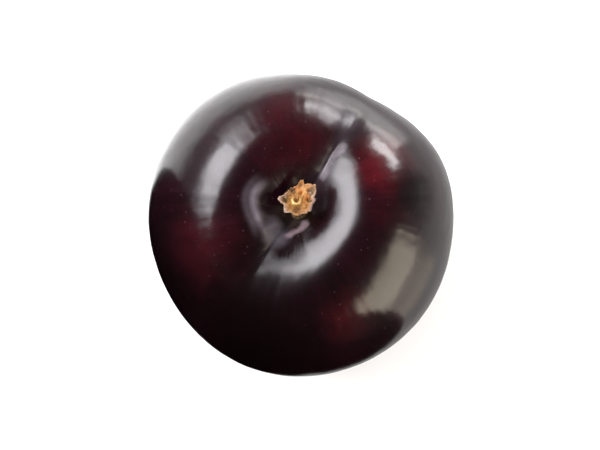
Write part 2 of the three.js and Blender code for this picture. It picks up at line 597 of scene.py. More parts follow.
class Paintbox:
    """A material under construction: its tree, its Principled shader and the nodes that colour it."""

    def __init__(self, name: str) -> None:
        """Starts a material that has only its shader.

        Args:
            name: The material's name.
        """
        self.material = bpy.data.materials.new(name)
        self.material.use_nodes = True
        self.tree = self.material.node_tree
        self.shader = self.tree.nodes["Principled BSDF"]
        coordinates = self.tree.nodes.new("ShaderNodeTexCoord")
        self.point = Term(self.tree, coordinates.outputs["Object"])

    def stored(self, name: str) -> Term:
        """Reads a value that the mesh keeps on its points.

        Args:
            name: The attribute's name.

        Returns:
            The value.
        """
        node = self.tree.nodes.new("ShaderNodeAttribute")
        node.attribute_name = name
        return Term(self.tree, node.outputs["Fac"])

    def blend(self, low: object, high: object, share: Number) -> Term:
        """Mixes two colours.

        Args:
            low: The colour where the share is 0.
            high: The colour where the share is 1.
            share: How far from low to high.

        Returns:
            The mixed colour.
        """
        node = self.tree.nodes.new("ShaderNodeMix")
        node.data_type = "RGBA"
        node.clamp_factor = True
        plug(self.tree, share, node.inputs[0])
        for socket, colour in ((node.inputs[6], low), (node.inputs[7], high)):
            plug(self.tree, (*colour, 1.0) if isinstance(colour, tuple) else colour, socket)
        return Term(self.tree, node.outputs[2])

    def relief(self, height: Term, size: Relief) -> None:
        """Bumps the surface, on top of any bump it already has.

        Args:
            height: The bump's height, from 0 to 1.
            size: What a height of 1 stands for, in metres, and how much of the bump is kept.
        """
        node = self.tree.nodes.new("ShaderNodeBump")
        node.inputs["Distance"].default_value, node.inputs["Strength"].default_value = size
        plug(self.tree, height, node.inputs["Height"])
        before = self.shader.inputs["Normal"].links
        if before:
            self.tree.links.new(before[0].from_socket, node.inputs["Normal"])
        self.tree.links.new(node.outputs["Normal"], self.shader.inputs["Normal"])

    def drive(self, **values: Number) -> None:
        """Sets or links the shader's inputs, named with an underscore for each space."""
        for name, value in values.items():
            plug(self.tree, value, self.shader.inputs[name.replace("_", " ")])


@dataclass(frozen=True)
class Blush:
    """A soft round patch of skin that differs from the rest: redder, darker with painted shade, duller, or
    paler with bloom and painted sheen.
    """

    middle: Place  # millimetres, from the middle of the base
    reach: float  # millimetres
    strength: float


@dataclass(frozen=True)
class Lip:
    """A painted highlight: a pale streak on the skin. Its places are in millimetres, from the middle of the
    base.
    """

    start: Place
    end: Place
    reach: float  # millimetres that it fades out over, to its sides
    strength: float


@dataclass(frozen=True)
class SkinFinish:
    """The fruit's skin: near black, with wine red showing through, pale dots and a bluish wax bloom, and with
    painted shade, painted sheen and painted highlights in places.
    """

    effects: Effects
    dark: Colour = (0.0018, 0.0004, 0.0006)
    plum: Colour = (0.0112, 0.0013, 0.0039)
    wine: Colour = (0.064, 0.0012, 0.0040)
    olive: Colour = (0.012, 0.0060, 0.0014)
    bloom: Colour = (0.190, 0.162, 0.188)
    # the colour of the painted highlight on the back crease's lip
    lilac: Colour = (0.230, 0.165, 0.185)
    dot: Colour = (0.13, 0.070, 0.078)
    # painted shade: patches where the skin is blended to near black, to stand for shade
    nights: tuple[Blush, ...] = (
        Blush((-5.0, 21.5, 38.0), 18.0, 0.95),
        Blush((14.0, 22.0, 33.0), 15.0, 0.90),
        Blush((-15.5, -14.5, 45.0), 6.5, 0.85),
    )
    dulls: tuple[Blush, ...] = (
        Blush((16.5, 9.5, 44.0), 9.0, 0.66),
        Blush((15.3, -8.0, 47.7), 6.0, 0.25),
        Blush((-2.4, 5.8, 45.2), 3.6, 0.80),
        Blush((-16.5, -14.5, 44.5), 5.5, 0.55),
        Blush((-1.6, 7.2, 45.0), 2.8, 1.40),
        Blush((5.9, -2.9, 46.5), 4.6, 0.80),
        Blush((6.0, 2.2, 46.5), 5.0, 0.70),
        Blush((1.9, -9.8, 45.6), 1.6, 0.90),
        Blush((1.7, -12.2, 45.8), 1.6, 0.90),
        Blush((-2.2, -12.6, 45.8), 3.4, 0.32),
        Blush((5.0, -19.4, 45.0), 6.5, 0.62),
    )
    # pale wax bloom with painted sheen, blended to the bloom's colour on the cavity's walls and by the suture
    hazes: tuple[Blush, ...] = (
        Blush((1.7, 5.3, 44.9), 3.0, 0.62),
        Blush((4.4, -20.8, 44.6), 5.0, 0.30),
    )
    # painted highlight along the back crease's lip, and painted reflection along the suture crease's lip
    lip: Lip = Lip((-0.7, 4.0, 44.2), (-2.3, 0.9, 44.2), 1.0, 0.66)
    crease_reflection: Lip = Lip((-0.9, -14.2, 45.2), (-0.4, -8.6, 44.6), 1.35, 0.62)
    blushes: tuple[Blush, ...] = (
        Blush((-8.5, -16.0, 45.5), 7.5, 0.88),
        Blush((-13.5, -9.5, 47.0), 6.5, 0.16),
        Blush((-16.7, 11.3, 42.0), 6.5, 0.75),
        Blush((9.0, -12.5, 47.0), 10.5, 0.34),
        Blush((9.5, 15.5, 44.0), 10.5, 0.34),
        Blush((2.0, -27.0, 18.0), 14.0, 0.40),
        Blush((-25.0, 2.0, 16.0), 14.0, 0.35),
        Blush((24.0, -8.0, 14.0), 12.0, 0.45),
        Blush((4.0, 26.0, 14.0), 12.0, 0.40),
    )
    mottling: Grain = Grain(150.0, 5.0, 0.6, 0.4)
    mottle_span: Span = (0.35, 0.68)
    clouding: Grain = Grain(48.0)
    cloud_span: Span = (0.38, 0.62)
    blush_edge: Grain = Grain(95.0, 3.0, 0.55)
    painted_shade_edge: Grain = Grain(60.0, 3.0)
    patch_edge: Grain = Grain(110.0, 3.0)
    streak_edge: Grain = Grain(600.0)
    pores: Grain = Grain(650.0, 3.0, 0.55)
    edge_wander: float = 1.1  # how uneven a patch's edge is, as a share of its reach
    edge_span: Span = (1.15, 0.25)  # shares of its reach, from where it starts to where it is full
    fold_bloom_and_sheen_span: Span = (2.5 * MM, 6.0 * MM)  # along X
    russet_side_span: Span = (-3.0 * MM, 3.0 * MM)  # along X
    russet_span: Span = (0.45, 0.75)  # of the cavity's depth, as are the next two
    russet_floor_span: Span = (0.70, 0.88)
    olive_span: Span = (0.62, 1.0)
    speck_offset: Place = (0.01, 0.02, 0.03)  # metres, so that no speck lies on a dot
    blush_streaked: float = 0.82  # what is left of a blush between the streaks; the next ones likewise
    blush_mottled: float = 0.46
    dull_rippled: float = 0.45
    bloom_and_sheen_mottled: float = 0.55
    lip_mottled: float = 0.60
    russet_aside: float = 0.55
    settled_mottled: float = 0.25
    relief_clouded: float = 0.3
    fold_bloom_and_sheen: float = 0.10  # what the fold adds to the bloom and painted sheen
    fold_side_bloom_and_sheen: float = 0.80  # and what it adds to that on +X
    fold_russet: float = 0.8
    settled_bloom: float = 0.50  # how much wax settles with the bloom, in the cavity and in the groove
    settled_cavity: float = 0.35
    settled_groove: float = 0.85
    ripe_plain: float = 0.15  # how far the dark goes to plum all over, and with each pattern
    ripe_streaks: float = 0.25
    ripe_clouds: float = 0.4
    ripe_mottle: float = 0.2
    ripe_fine: float = -0.1
    olive_share: float = 0.85  # how far a colour covers the skin, as in the other shares
    dot_share: float = 0.75  # of the dots' colour, as is the next
    speck_share: float = 0.35
    dots_share: float = 0.26
    bloom_share: float = 0.026
    groove_share: float = 0.06
    coat: float = 1.02
    coat_settled: float = 0.42  # how much the settled wax and the russet take off the coat
    coat_russet: float = 0.85
    thinnest_coat: float = 0.05
    coat_roughness: float = 0.21
    coat_index: float = 1.48
    roughness: float = 0.44
    roughness_settled: float = 0.20
    roughness_fine: float = 0.04
    index: float = 1.45
    gloss: float = 0.02
    ripple_relief: Relief = (0.15 * MM, 0.8)
    pore_relief: Relief = (0.035 * MM, 0.6)
    dot_relief: Relief = (0.02 * MM, 0.8)

    def material(self) -> bpy.types.Material:
        """Builds the skin's material.

        Returns:
            The material.
        """
        paint = Paintbox("plum_skin")
        point = paint.point
        x = point.axes()[0]
        cavity, groove, fold = (paint.stored(name) for name in ("cavity", "groove", "fold"))
        streaks = self.effects.streaks.place(point, Turns=11.0, Climb=34.0, Low=0.40, High=0.66)
        fine = self.effects.streaks.place(point, Turns=28.0, Climb=70.0, Low=0.32, High=0.74)
        ripples = self.effects.streaks.place(point, Turns=9.0, Climb=12.0, Low=0.30, High=0.70)
        bloom = self.effects.bloom.place(point, Cover=0.40, Cloud=75.0, Grain=1500.0)
        dots = self.effects.dots.place(point, Density=900.0, Size=0.21, Share=0.55)
        away = point.arrow("ADD", self.speck_offset)
        specks = self.effects.dots.place(away, Density=2300.0, Size=0.25, Share=0.55)
        mottle = self.mottling.on(point).ramp(*self.mottle_span)
        broad = self.clouding.on(point).ramp(*self.cloud_span)
        wander = self.patch_edge.on(point)
        uneven = self.streak_edge.on(point)
        blush = self._patches(point, self.blushes, self.blush_edge.on(point))
        blush = blush * at_least(self.blush_streaked, streaks) * at_least(self.blush_mottled, mottle)
        painted_shade = self._patches(point, self.nights, self.painted_shade_edge.on(point))
        dull = self._patches(point, self.dulls, wander) * at_least(self.dull_rippled, ripples)
        # bloom and painted sheen: pale patches, the crease's painted reflection and the fold's painted sheen
        bloom_and_sheen = self._patches(point, self.hazes, wander) + self._streak(point, self.crease_reflection, uneven)
        bloom_and_sheen = bloom_and_sheen + fold * (self.fold_bloom_and_sheen + self.fold_side_bloom_and_sheen * x.ramp(*self.fold_bloom_and_sheen_span))
        bloom_and_sheen = bloom_and_sheen * at_least(self.bloom_and_sheen_mottled, mottle)
        lip = self._streak(point, self.lip, uneven) * at_least(self.lip_mottled, mottle)
        russet = cavity.ramp(*self.russet_span) * at_least(self.russet_aside, x.ramp(*self.russet_side_span))
        russet = russet.math("MAXIMUM", cavity.ramp(*self.russet_floor_span))
        russet = russet.math("MAXIMUM", fold * self.fold_russet)
        hollow = cavity * self.settled_cavity + groove * self.settled_groove
        settled = (bloom * self.settled_bloom + at_least(self.settled_mottled, mottle) * hollow).capped()
        ripe = self.ripe_plain + self.ripe_streaks * streaks + self.ripe_clouds * broad
        ripe = ripe + self.ripe_mottle * mottle + self.ripe_fine * fine
        colour = paint.blend(self.dark, self.plum, ripe)
        colour = paint.blend(colour, self.wine, blush)
        colour = paint.blend(colour, self.olive, cavity.ramp(*self.olive_span) * self.olive_share)
        spotted = (dots * self.dot_share + specks * self.speck_share).capped()
        colour = paint.blend(colour, self.dot, spotted * self.dots_share)
        pale = settled * self.bloom_share + bloom_and_sheen + groove * self.groove_share
        colour = paint.blend(colour, self.bloom, pale)
        # painted shade: the skin goes to near black in the shade patches
        colour = paint.blend(colour, self.dark, painted_shade)
        # painted highlight: the lip streak in pale lilac
        colour = paint.blend(colour, self.lilac, lip)
        coat = self.coat - self.coat_settled * settled - self.coat_russet * russet - dull
        rough = self.roughness + self.roughness_settled * settled + self.roughness_fine * fine
        paint.drive(Base_Color=colour, Roughness=rough, Coat_Weight=coat.math("MAXIMUM", self.thinnest_coat))
        paint.drive(IOR=self.index, Specular_IOR_Level=self.gloss)
        paint.drive(Coat_Roughness=self.coat_roughness, Coat_IOR=self.coat_index)
        rippled = ripples * at_least(self.relief_clouded, broad) * (1.0 - cavity)
        paint.relief(rippled, self.ripple_relief)
        paint.relief(self.pores.on(point), self.pore_relief)
        paint.relief(dots, self.dot_relief)
        return paint.material

    def _patches(self, point: Term, spots: Sequence[Blush], wander: Term) -> Term:
        """How far inside the nearest of some patches each point is.

        Args:
            point: The point of the skin.
            spots: The patches.
            wander: A noise that makes their edges uneven.

        Returns:
            From 0 outside them to the strength of the one that is strongest there.
        """
        total: Term | float = 0.0
        for spot in spots:
            away = point.arrow("DISTANCE", [c * MM for c in spot.middle]) / (spot.reach * MM)
            total = (self._faded(away, wander) * spot.strength).math("MAXIMUM", total)
        return total

    def _streak(self, point: Term, lip: Lip, wander: Term) -> Term:
        """How far inside a streak of painted highlight each point is.

        Args:
            point: The point of the skin.
            lip: The streak.
            wander: A noise that makes its edge uneven.

        Returns:
            From 0 outside it to its strength.
        """
        run = [(end - start) * MM for start, end in zip(lip.start, lip.end)]
        offset = point.arrow("SUBTRACT", [c * MM for c in lip.start])
        share = offset.arrow("DOT_PRODUCT", run).ramp(0.0, sum(c * c for c in run), Curve.STRAIGHT)
        nearest = vector(*(share * c for c in run))
        return self._faded(offset.arrow("DISTANCE", nearest) / (lip.reach * MM), wander) * lip.strength

    def _faded(self, away: Term, wander: Term) -> Term:
        """Turns a distance, as a share of a patch's reach, into 1 inside and 0 outside."""
        return (away + (wander - 0.5) * self.edge_wander).ramp(*self.edge_span)


@dataclass(frozen=True)
class StalkFinish:
    """The stalk: olive brown bark with pale fibres, and a torn end of ochre pith with a pale rim that carries
    painted shade on one side.
    """

    effects: Effects
    brown: Colour = (0.030, 0.014, 0.005)
    olive: Colour = (0.085, 0.050, 0.016)
    fibre: Colour = (0.24, 0.165, 0.085)
    # dark fissures, partly painted shade in the torn face's hollows
    fissure: Colour = (0.085, 0.030, 0.007)
    ochre: Colour = (0.245, 0.106, 0.020)
    straw: Colour = (0.55, 0.40, 0.150)
    orange: Colour = (0.36, 0.118, 0.022)
    pale: Colour = (0.36, 0.255, 0.215)
    # the painted shade on the rim's side away from the window light
    mauve: Colour = (0.105, 0.075, 0.085)
    grain: Grain = Grain(1700.0, 4.0, 0.62, 0.4)
    mottling: Grain = Grain(620.0, 4.0, 0.6)
    mottle_span: Span = (0.38, 0.64)
    warm_span: Span = (0.25, 0.75)
    straw_span: Span = (0.60, 0.92)  # of the torn face's height, as is the next
    fissure_span: Span = (0.50, 0.24)
    fissure_grain_span: Span = (0.62, 0.36)
    rim_grain_span: Span = (0.32, 0.6)
    least_olive: float = 0.25
    fibre_share: float = 0.45  # how far each covers the bark in the fibres' colour
    cork_share: float = 0.7
    dust_share: float = 0.20
    warm_mottle: float = 0.5  # how far the mottling shifts the warm parts
    warm_straw: float = 0.8  # how much of the straw they lose
    least_cracked: float = 0.45
    least_rim: float = 0.45
    roughness: float = 0.52
    roughness_grain: float = 0.30
    gloss: float = 0.35
    fibre_relief: Relief = (0.09 * MM, 0.8)
    cork_relief: Relief = (0.08 * MM, 0.7)
    grain_relief: Relief = (0.16 * MM, 0.7)

    def material(self) -> bpy.types.Material:
        """Builds the stalk's material. The mesh says how torn, how near the rim, how high and how warm each
        point is, and where the rim carries painted shade.

        Returns:
            The material.
        """
        paint = Paintbox("stalk_wood")
        point = paint.point
        torn, rim, high, warm = (paint.stored(name) for name in ("torn", "rim", "high", "warm"))
        fibres = self.effects.streaks.place(point, Turns=4.5, Climb=170.0, Low=0.42, High=0.60)
        corks = self.effects.dots.place(point, Density=1500.0, Size=0.26, Share=0.45)
        dust = self.effects.bloom.place(point, Cover=0.40, Cloud=420.0, Grain=3200.0)
        grain = self.grain.on(point)
        mottle = self.mottling.on(point).ramp(*self.mottle_span)
        bark = paint.blend(self.brown, self.olive, at_least(self.least_olive, mottle))
        pale = fibres * self.fibre_share + corks * self.cork_share + dust * self.dust_share
        bark = paint.blend(bark, self.fibre, pale.capped())
        warmth = (warm + (mottle - 0.5) * self.warm_mottle).ramp(*self.warm_span)
        wood = paint.blend(self.ochre, self.orange, warmth)
        wood = paint.blend(wood, self.straw, high.ramp(*self.straw_span) * (1.0 - warm * self.warm_straw))
        # darker in the low places of the torn face: dark fissures, partly painted shade in the hollows
        cracked = at_least(self.least_cracked, grain.ramp(*self.fissure_grain_span))
        wood = paint.blend(wood, self.fissure, high.ramp(*self.fissure_span) * cracked)
        colour = paint.blend(bark, wood, torn)
        # painted shade: the rim is blended to a dark colour where the mark for warmth is below 0
        edge = paint.blend(self.pale, self.mauve, warm.ramp(0.0, -1.0))
        pale = (rim * at_least(self.least_rim, grain.ramp(*self.rim_grain_span))).capped()
        colour = paint.blend(colour, edge, pale)
        rough = self.roughness + self.roughness_grain * grain
        paint.drive(Base_Color=colour, Roughness=rough, Specular_IOR_Level=self.gloss)
        paint.relief(fibres * (1.0 - torn), self.fibre_relief)
        paint.relief(corks * (1.0 - torn), self.cork_relief)
        paint.relief(grain, self.grain_relief)
        return paint.material


# --------------------------------------------------------------------------------------------------
# The fruit
# --------------------------------------------------------------------------------------------------


@dataclass(frozen=True)
class FruitShape:
    """The fruit's sizes: lengths in millimetres, the rest plain numbers."""

    half_width: float = 28.95
    half_depth: float = 28.45
    half_height: float = 26.4
    shoulder_power: float = 2.1
    base_power: float = 2.08
    shoulder_spread: float = 0.088
    lobe_lift: float = 0.25
    slant: float = -0.035  # how far X leans with Y
    seat_cut: float = 1.0
    seat_rounding: float = 0.35
    shoulder_swell: float = 1.05
    shoulder_swell_turn: float = -128.0  # degrees from +X
    shoulder_hollow: float = 1.12
    shoulder_hollow_turn: float = -58.0  # degrees from +X
    shoulder_reach: float = 14.0  # degrees
    cavity_radius: float = 11.8
    cavity_slope: float = 0.84
    cavity_rim: float = 2.07
    cavity_floor: float = 1.6
    cavity_stretch_back: float = 1.58
    cavity_stretch_front: float = 1.07
    cavity_blend: float = 8.8
    cavity_turn: float = -4.6  # degrees
    valley_depth: float = 0.98
    valley_width_left: float = 8.1
    valley_width_right: float = 6.9
    valley_end: float = 11.8
    valley_least: float = 0.3  # the share of its depth that is left low down
    flank_depth: float = 1.2
    flank_width: float = 10.1
    crease_depth: float = 2.22
    crease_width: float = 2.64
    crease_rounding: float = 0.18
    crease_rounding_end: float = 1.5
    line_depth: float = 0.12
    line_width: float = 2.0
    groove_width: float = 1.6
    groove_least: float = 0.3
    suture_wander: float = -0.14
    suture_waves: float = 3.0
    suture_phase: float = -0.22
    back_crease_depth: float = 1.6
    back_crease_width: float = 1.81
    back_crease_length: float = 15.0
    back_crease_bend: float = -1.3
    fold_radius: float = 8.2
    fold_width: float = 0.75
    fold_height: float = 0.2
    fold_wave: float = 0.5
    fold_waves: float = 5.0  # waves of its crest in a whole turn
    second_fold_gap: float = 1.5
    second_fold_width: float = 0.8  # as a share of the first one's, as is the next
    second_fold_height: float = 0.3
    collar_radius: float = 1.9
    collar_width: float = 0.55
    collar_height: float = 0.28
    scar_radius: float = 1.5
    scar_depth: float = 0.55
    crowding: float = 1.2  # how much closer the points lie towards the top
    ripple_turns: float = 10.0  # cells in a radian round the fruit
    ripple_climb: float = 1.2  # cells up the fruit, in half its height
    ripple_height: float = 0.10
    swelling_height: float = 0.12


@dataclass(frozen=True)
class FruitSpans:
    """Where the fruit's features fade in: the value that gives 0, then the one that gives 1.

    A level goes from -1 at the base to 1 at the top, and an along is Y in millimetres.
    """

    power_level: Span = (-0.3, 0.7)
    lift_level: Span = (0.0, 1.0)
    top_level: Span = (0.2, 0.5)
    bottom_level: Span = (-0.7, -0.9)
    cavity_level: Span = (0.0, 0.4)
    cavity_share: Span = (0.12, 0.85)  # of the cavity's depth
    fold_start: Span = (-0.25, 0.25)  # radians from +X, as is the next
    fold_end: Span = (1.35, 0.95)
    bend_along: Span = (0.0, 12.0)
    crease_end_along: Span = (-13.0, -21.0)
    front_along: Span = (2.0, -4.0)
    valley_across: Span = (-1.0, 1.0)  # millimetres to either side of its line
    valley_level: Span = (0.3, 0.85)
    valley_foot: Span = (-0.98, -0.8)
    flank_along: Span = (0.0, -20.0)
    flank_level: Span = (-0.95, -0.3)
    crease_level: Span = (0.45, 0.9)
    line_level: Span = (-0.9, -0.6)
    back_level: Span = (0.2, 0.7)
    back_along: Span = (0.0, 3.0)
    back_end_along: Span = (3.0, -5.0)  # past the back crease's length
    groove_level: Span = (0.35, 0.8)
    shoulder_level: Span = (0.75, 0.2)
    ripple_out: Span = (0.36, 0.6)  # of a direction's distance from upright


@dataclass
class Fruit:
    """The whole fruit, as a sphere of directions that Geometry Nodes set on the formula's surface."""

    skin: SkinFinish
    shape: FruitShape = FruitShape()
    spans: FruitSpans = FruitSpans()
    facets: int = 126  # along each edge of the cube that the sphere is made from
    waviness: Grain = Grain(7.0)
    ridges: Grain = Grain(1.0, 1.0, 0.45)
    swellings: tuple[tuple[Place, float, float], ...] = (  # how quickly each varies, its phase and its height
        ((3.1, 1.2, 2.3), 0.3, 0.16),
        ((-2.2, 3.4, 1.7), 1.9, 0.14),
        ((4.1, -2.8, 3.6), 4.2, 0.10),
        ((1.4, 5.2, -4.4), 2.7, 0.07),
    )

    def build(self) -> tuple[bpy.types.Object, Vector]:
        """Makes the fruit in its place on the table.

        Returns:
            The fruit, and the point of its own axis at the base, in metres.
        """
        recipe = Recipe("fruit_skin")
        size = {}
        for entry in fields(self.shape):
            label = entry.name.replace("_", " ").capitalize()
            size[entry.name] = recipe.setting(label, getattr(self.shape, entry.name))
        steps = recipe.setting("Facets", self.facets)
        material = recipe.setting("Material", self.skin.material())
        cube = recipe.node("GeometryNodeMeshCube", Size=(2.0, 2.0, 2.0))
        for side in ("Vertices X", "Vertices Y", "Vertices Z"):
            plug(recipe.tree, steps + 1.0, cube.inputs[side])
        direction = self._direction(recipe.field("GeometryNodeInputPosition"), size)
        sphere = recipe.node("GeometryNodeSetPosition", Geometry=cube.outputs["Mesh"], Position=direction)
        direction = recipe.field("GeometryNodeInputPosition")
        point, marks = self._skin(direction, size)
        geometry = sphere.outputs[0]
        for name, value in marks.items():
            geometry = recipe.remember(geometry, name, value)
        placed = recipe.node("GeometryNodeSetPosition", Geometry=geometry, Position=point)
        recipe.finish(placed.outputs[0], material)
        fruit = recipe.cook()
        return fruit, self._stand(fruit)

    def _direction(self, corner: Term, size: Mapping[str, Term]) -> Term:
        """Turns the cube into a sphere with even spacing, which crowds a little towards the top.

        Args:
            corner: A point of the cube.
            size: The recipe's inputs.

        Returns:
            The unit vector that it becomes.
        """
        even = [(axis * (math.pi / 4)).math("TANGENT") for axis in corner.axes()]
        reach = hypotenuse(*even)
        x, y, z = (axis / reach for axis in even)
        turn = z.math("MINIMUM", 1.0).math("MAXIMUM", -1.0).math("ARCCOSINE") / math.pi
        turn = turn ** size["crowding"] * math.pi
        wide = turn.math("SINE") / hypotenuse(x, y).positive()
        return vector(x * wide, y * wide, turn.math("COSINE"))

    def _skin(self, direction: Term, size: Mapping[str, Term]) -> tuple[Term, dict[str, Term]]:
        """The formula surface.

        Args:
            direction: A unit vector from the middle of the fruit.
            size: The recipe's inputs.

        Returns:
            The point of the skin in metres, and what each point keeps for the material.
        """
        spans = self.spans
        nx, ny, nz = direction.axes()
        power = mix(size["base_power"], size["shoulder_power"], nz.ramp(*spans.power_level))
        round_part = hypotenuse(nx, ny).positive() ** power
        reach = (round_part + nz.math("ABSOLUTE").positive() ** power) ** -(power ** -1.0)
        level = nz * reach
        spread = size["shoulder_spread"] * level + 1.0
        x = nx * reach * size["half_width"] * spread
        y = ny * reach * size["half_depth"] * spread
        lift = -size["lobe_lift"] * nx * reach * level.ramp(*spans.lift_level)
        cavity, depth = self._cavity(x, y, level, size)
        z = level * size["half_height"] + lift - depth
        suture, groove = self._suture(x, y, level, size)
        outward = self._swell(nx, ny, nz, size) + self._shoulders(nx, ny, level, size) - suture
        x, y, z = x + nx * outward, y + ny * outward, z + nz * outward
        x = x + y * size["slant"]
        z = self._seat(z, size)
        top, bottom = level.ramp(*spans.top_level), level.ramp(*spans.bottom_level)
        axis = hypotenuse(x, y)
        fold = self._fold(x, y, axis, size)
        z = z + fold * size["fold_height"] * top
        z = z + bell(axis - size["collar_radius"], size["collar_width"]) * size["collar_height"] * top
        z = z + bell(axis, size["scar_radius"]) * size["scar_depth"] * bottom
        point = vector(x * MM, y * MM, z * MM)
        return point, {"cavity": cavity, "groove": groove, "fold": fold}

    def _cavity(self, x: Term, y: Term, level: Term, size: Mapping[str, Term]) -> tuple[Term, Term]:
        """The funnel round the stalk.

        Args:
            x: The skin's X in millimetres, before the funnel is pressed in.
            y: Its Y.
            level: Its height, from -1 to 1.
            size: The recipe's inputs.

        Returns:
            How far inside the funnel each point is, from 0 to 1, and how deep it lies there.
        """
        blend = size["cavity_blend"]
        stretch = mix(size["cavity_stretch_front"], size["cavity_stretch_back"], y.ramp(-blend, blend))
        turn = size["cavity_turn"] * DEGREE
        sine, cosine = turn.math("SINE"), turn.math("COSINE")
        radius = hypotenuse(x * cosine + y * sine, (y * cosine - x * sine) / stretch, size["cavity_floor"])
        inside = ((size["cavity_radius"] - radius) / size["cavity_rim"]).math("EXPONENT") + 1.0
        inside = inside.math("LOGARITHM", math.e)
        depth = size["cavity_slope"] * size["cavity_rim"] * inside * level.ramp(*self.spans.cavity_level)
        share = depth / (size["cavity_radius"] * size["cavity_slope"])
        return share.ramp(*self.spans.cavity_share, Curve.STRAIGHT), depth

    def _fold(self, x: Term, y: Term, axis: Term, size: Mapping[str, Term]) -> Term:
        """The low fold in the cavity's wall on +X, with a fainter one outside it.

        Args:
            x: The skin's X in millimetres.
            y: Its Y.
            axis: How far it is from the fruit's axis.
            size: The recipe's inputs.

        Returns:
            1 on the fold's crest, and 0 away from it.
        """
        turn = y.math("ARCTAN2", x)
        crest = size["fold_radius"] + size["fold_wave"] * (turn * size["fold_waves"]).math("SINE")
        outside = axis - crest - size["second_fold_gap"]
        second = bell(outside, size["fold_width"] * size["second_fold_width"]) * size["second_fold_height"]
        reach = turn.ramp(*self.spans.fold_start) * turn.ramp(*self.spans.fold_end)
        return (bell(axis - crest, size["fold_width"]) + second) * reach

    def _suture(self, x: Term, y: Term, level: Term, size: Mapping[str, Term]) -> tuple[Term, Term]:
        """The valley between the lobes with its crease, and the short crease behind the stalk.

        Args:
            x: The skin's X in millimetres.
            y: Its Y.
            level: Its height, from -1 to 1.
            size: The recipe's inputs.

        Returns:
            How deep they go, and how close each point is to their line, from 0 to 1.
        """
        spans = self.spans
        sway = (level * size["suture_waves"] + size["suture_phase"]).math("SINE")
        across = x + size["suture_wander"] * sway
        across = across + size["back_crease_bend"] * y.ramp(*spans.bend_along)
        rounding = mix(size["crease_rounding"], size["crease_rounding_end"], y.ramp(*spans.crease_end_along))
        sharp = hypotenuse(across, rounding)
        width = mix(size["valley_width_right"], size["valley_width_left"], across.ramp(*spans.valley_across))
        valley = size["valley_depth"] * bell(across, width) * y.ramp(0.0, -size["valley_end"])
        high = at_least(size["valley_least"], level.ramp(*spans.valley_level))
        valley = valley * high * level.ramp(*spans.valley_foot)
        flank = size["flank_depth"] * bell(across, size["flank_width"]) * y.ramp(*spans.flank_along)
        flank = flank * level.ramp(*spans.flank_level)
        crease = size["crease_depth"] * cusp(sharp, size["crease_width"]) * level.ramp(*spans.crease_level)
        line = size["line_depth"] * bell(across, size["line_width"]) * level.ramp(*spans.line_level)
        front = y.ramp(*spans.front_along)
        ends = [size["back_crease_length"] + past for past in spans.back_end_along]
        behind = cusp(sharp, size["back_crease_width"]) * level.ramp(*spans.back_level)
        behind = behind * y.ramp(*spans.back_along) * y.ramp(*ends)
        down = at_least(size["groove_least"], level.ramp(*spans.groove_level)) * level.ramp(*spans.line_level)
        close = (front * down + behind) * bell(across, size["groove_width"])
        return front * (valley + flank + crease + line) + size["back_crease_depth"] * behind, close

    def _swell(self, nx: Term, ny: Term, nz: Term, size: Mapping[str, Term]) -> Term:
        """Low swellings, so that neither lobe is a true ellipsoid, with a faint waviness and faint ridges.

        Args:
            nx: X of the direction from the middle of the fruit.
            ny: Its Y.
            nz: Its Z.
            size: The recipe's inputs.

        Returns:
            How far the skin stands out, in millimetres.
        """
        total = (self.waviness.on(vector(nx, ny, nz)) - 0.5) * size["swelling_height"]
        for (kx, ky, kz), phase, height in self.swellings:
            total = total + (nx * kx + ny * ky + nz * kz + phase).math("SINE") * height
        out = hypotenuse(nx, ny).positive()
        turns = size["ripple_turns"] / out
        ridges = self.ridges.on(vector(nx * turns, ny * turns, nz * size["ripple_climb"])) - 0.5
        return total + ridges * size["ripple_height"] * out.ramp(*self.spans.ripple_out)

    def _shoulders(self, nx: Term, ny: Term, level: Term, size: Mapping[str, Term]) -> Term:
        """The lobe on -X swells beside the suture, and the other one is flatter there.

        Args:
            nx: X of the direction from the middle of the fruit.
            ny: Its Y.
            level: The skin's height, from -1 to 1.
            size: The recipe's inputs.

        Returns:
            How far the skin stands out, in millimetres.
        """
        out = hypotenuse(nx, ny).positive()
        reach = size["shoulder_reach"] * DEGREE
        height: Term | float = 0.0
        for name, side in (("shoulder_swell", 1.0), ("shoulder_hollow", -1.0)):
            turn = size[name + "_turn"] * DEGREE
            close = (nx * turn.math("COSINE") + ny * turn.math("SINE")) / out
            height = height + size[name] * side * ((close - 1.0) / (reach * reach)).math("EXPONENT")
        return height * level.ramp(*self.spans.shoulder_level) * level.ramp(*self.spans.flank_level)

    def _seat(self, z: Term, size: Mapping[str, Term]) -> Term:
        """Raises the points below the flat spot onto it, with a soft edge, and counts height from it."""
        above = z + size["half_height"] - size["seat_cut"]
        return (above + hypotenuse(above, size["seat_rounding"])) * 0.5

    def _stand(self, fruit: bpy.types.Object) -> Vector:
        """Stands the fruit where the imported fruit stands.

        Args:
            fruit: The fruit, with its own axis on the origin.

        Returns:
            Where the axis meets the table.
        """
        low, high = (Vector(corner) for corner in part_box("fruit"))
        points = [vertex.co for vertex in fruit.data.vertices]
        own_low = Vector([min(p[i] for p in points) for i in range(3)])
        own_high = Vector([max(p[i] for p in points) for i in range(3)])
        shift = (low + high - own_low - own_high) / 2
        shift.z = low.z - own_low.z
        fruit.data.transform(Matrix.Translation(shift))
        return shift


# --------------------------------------------------------------------------------------------------
# The stalk
# --------------------------------------------------------------------------------------------------


def smooth(value: float, start: float, end: float) -> float:
    """Rises smoothly from 0 at start to 1 at end, like Term.ramp."""
    share = min(max((value - start) / (end - start), 0.0), 1.0)
    return share * share * (3.0 - 2.0 * share)


def hump(value: float, width: float) -> float:
    """A smooth bump: 1 at 0, and falling away over the width."""
    return math.exp(-((value / width) ** 2))


def turned(turn: float, middle: float) -> float:
    """How far a turn in radians is from a middle in degrees: from -180 to 180 degrees."""
    return (math.degrees(turn) - middle + 180.0) % 360.0 - 180.0


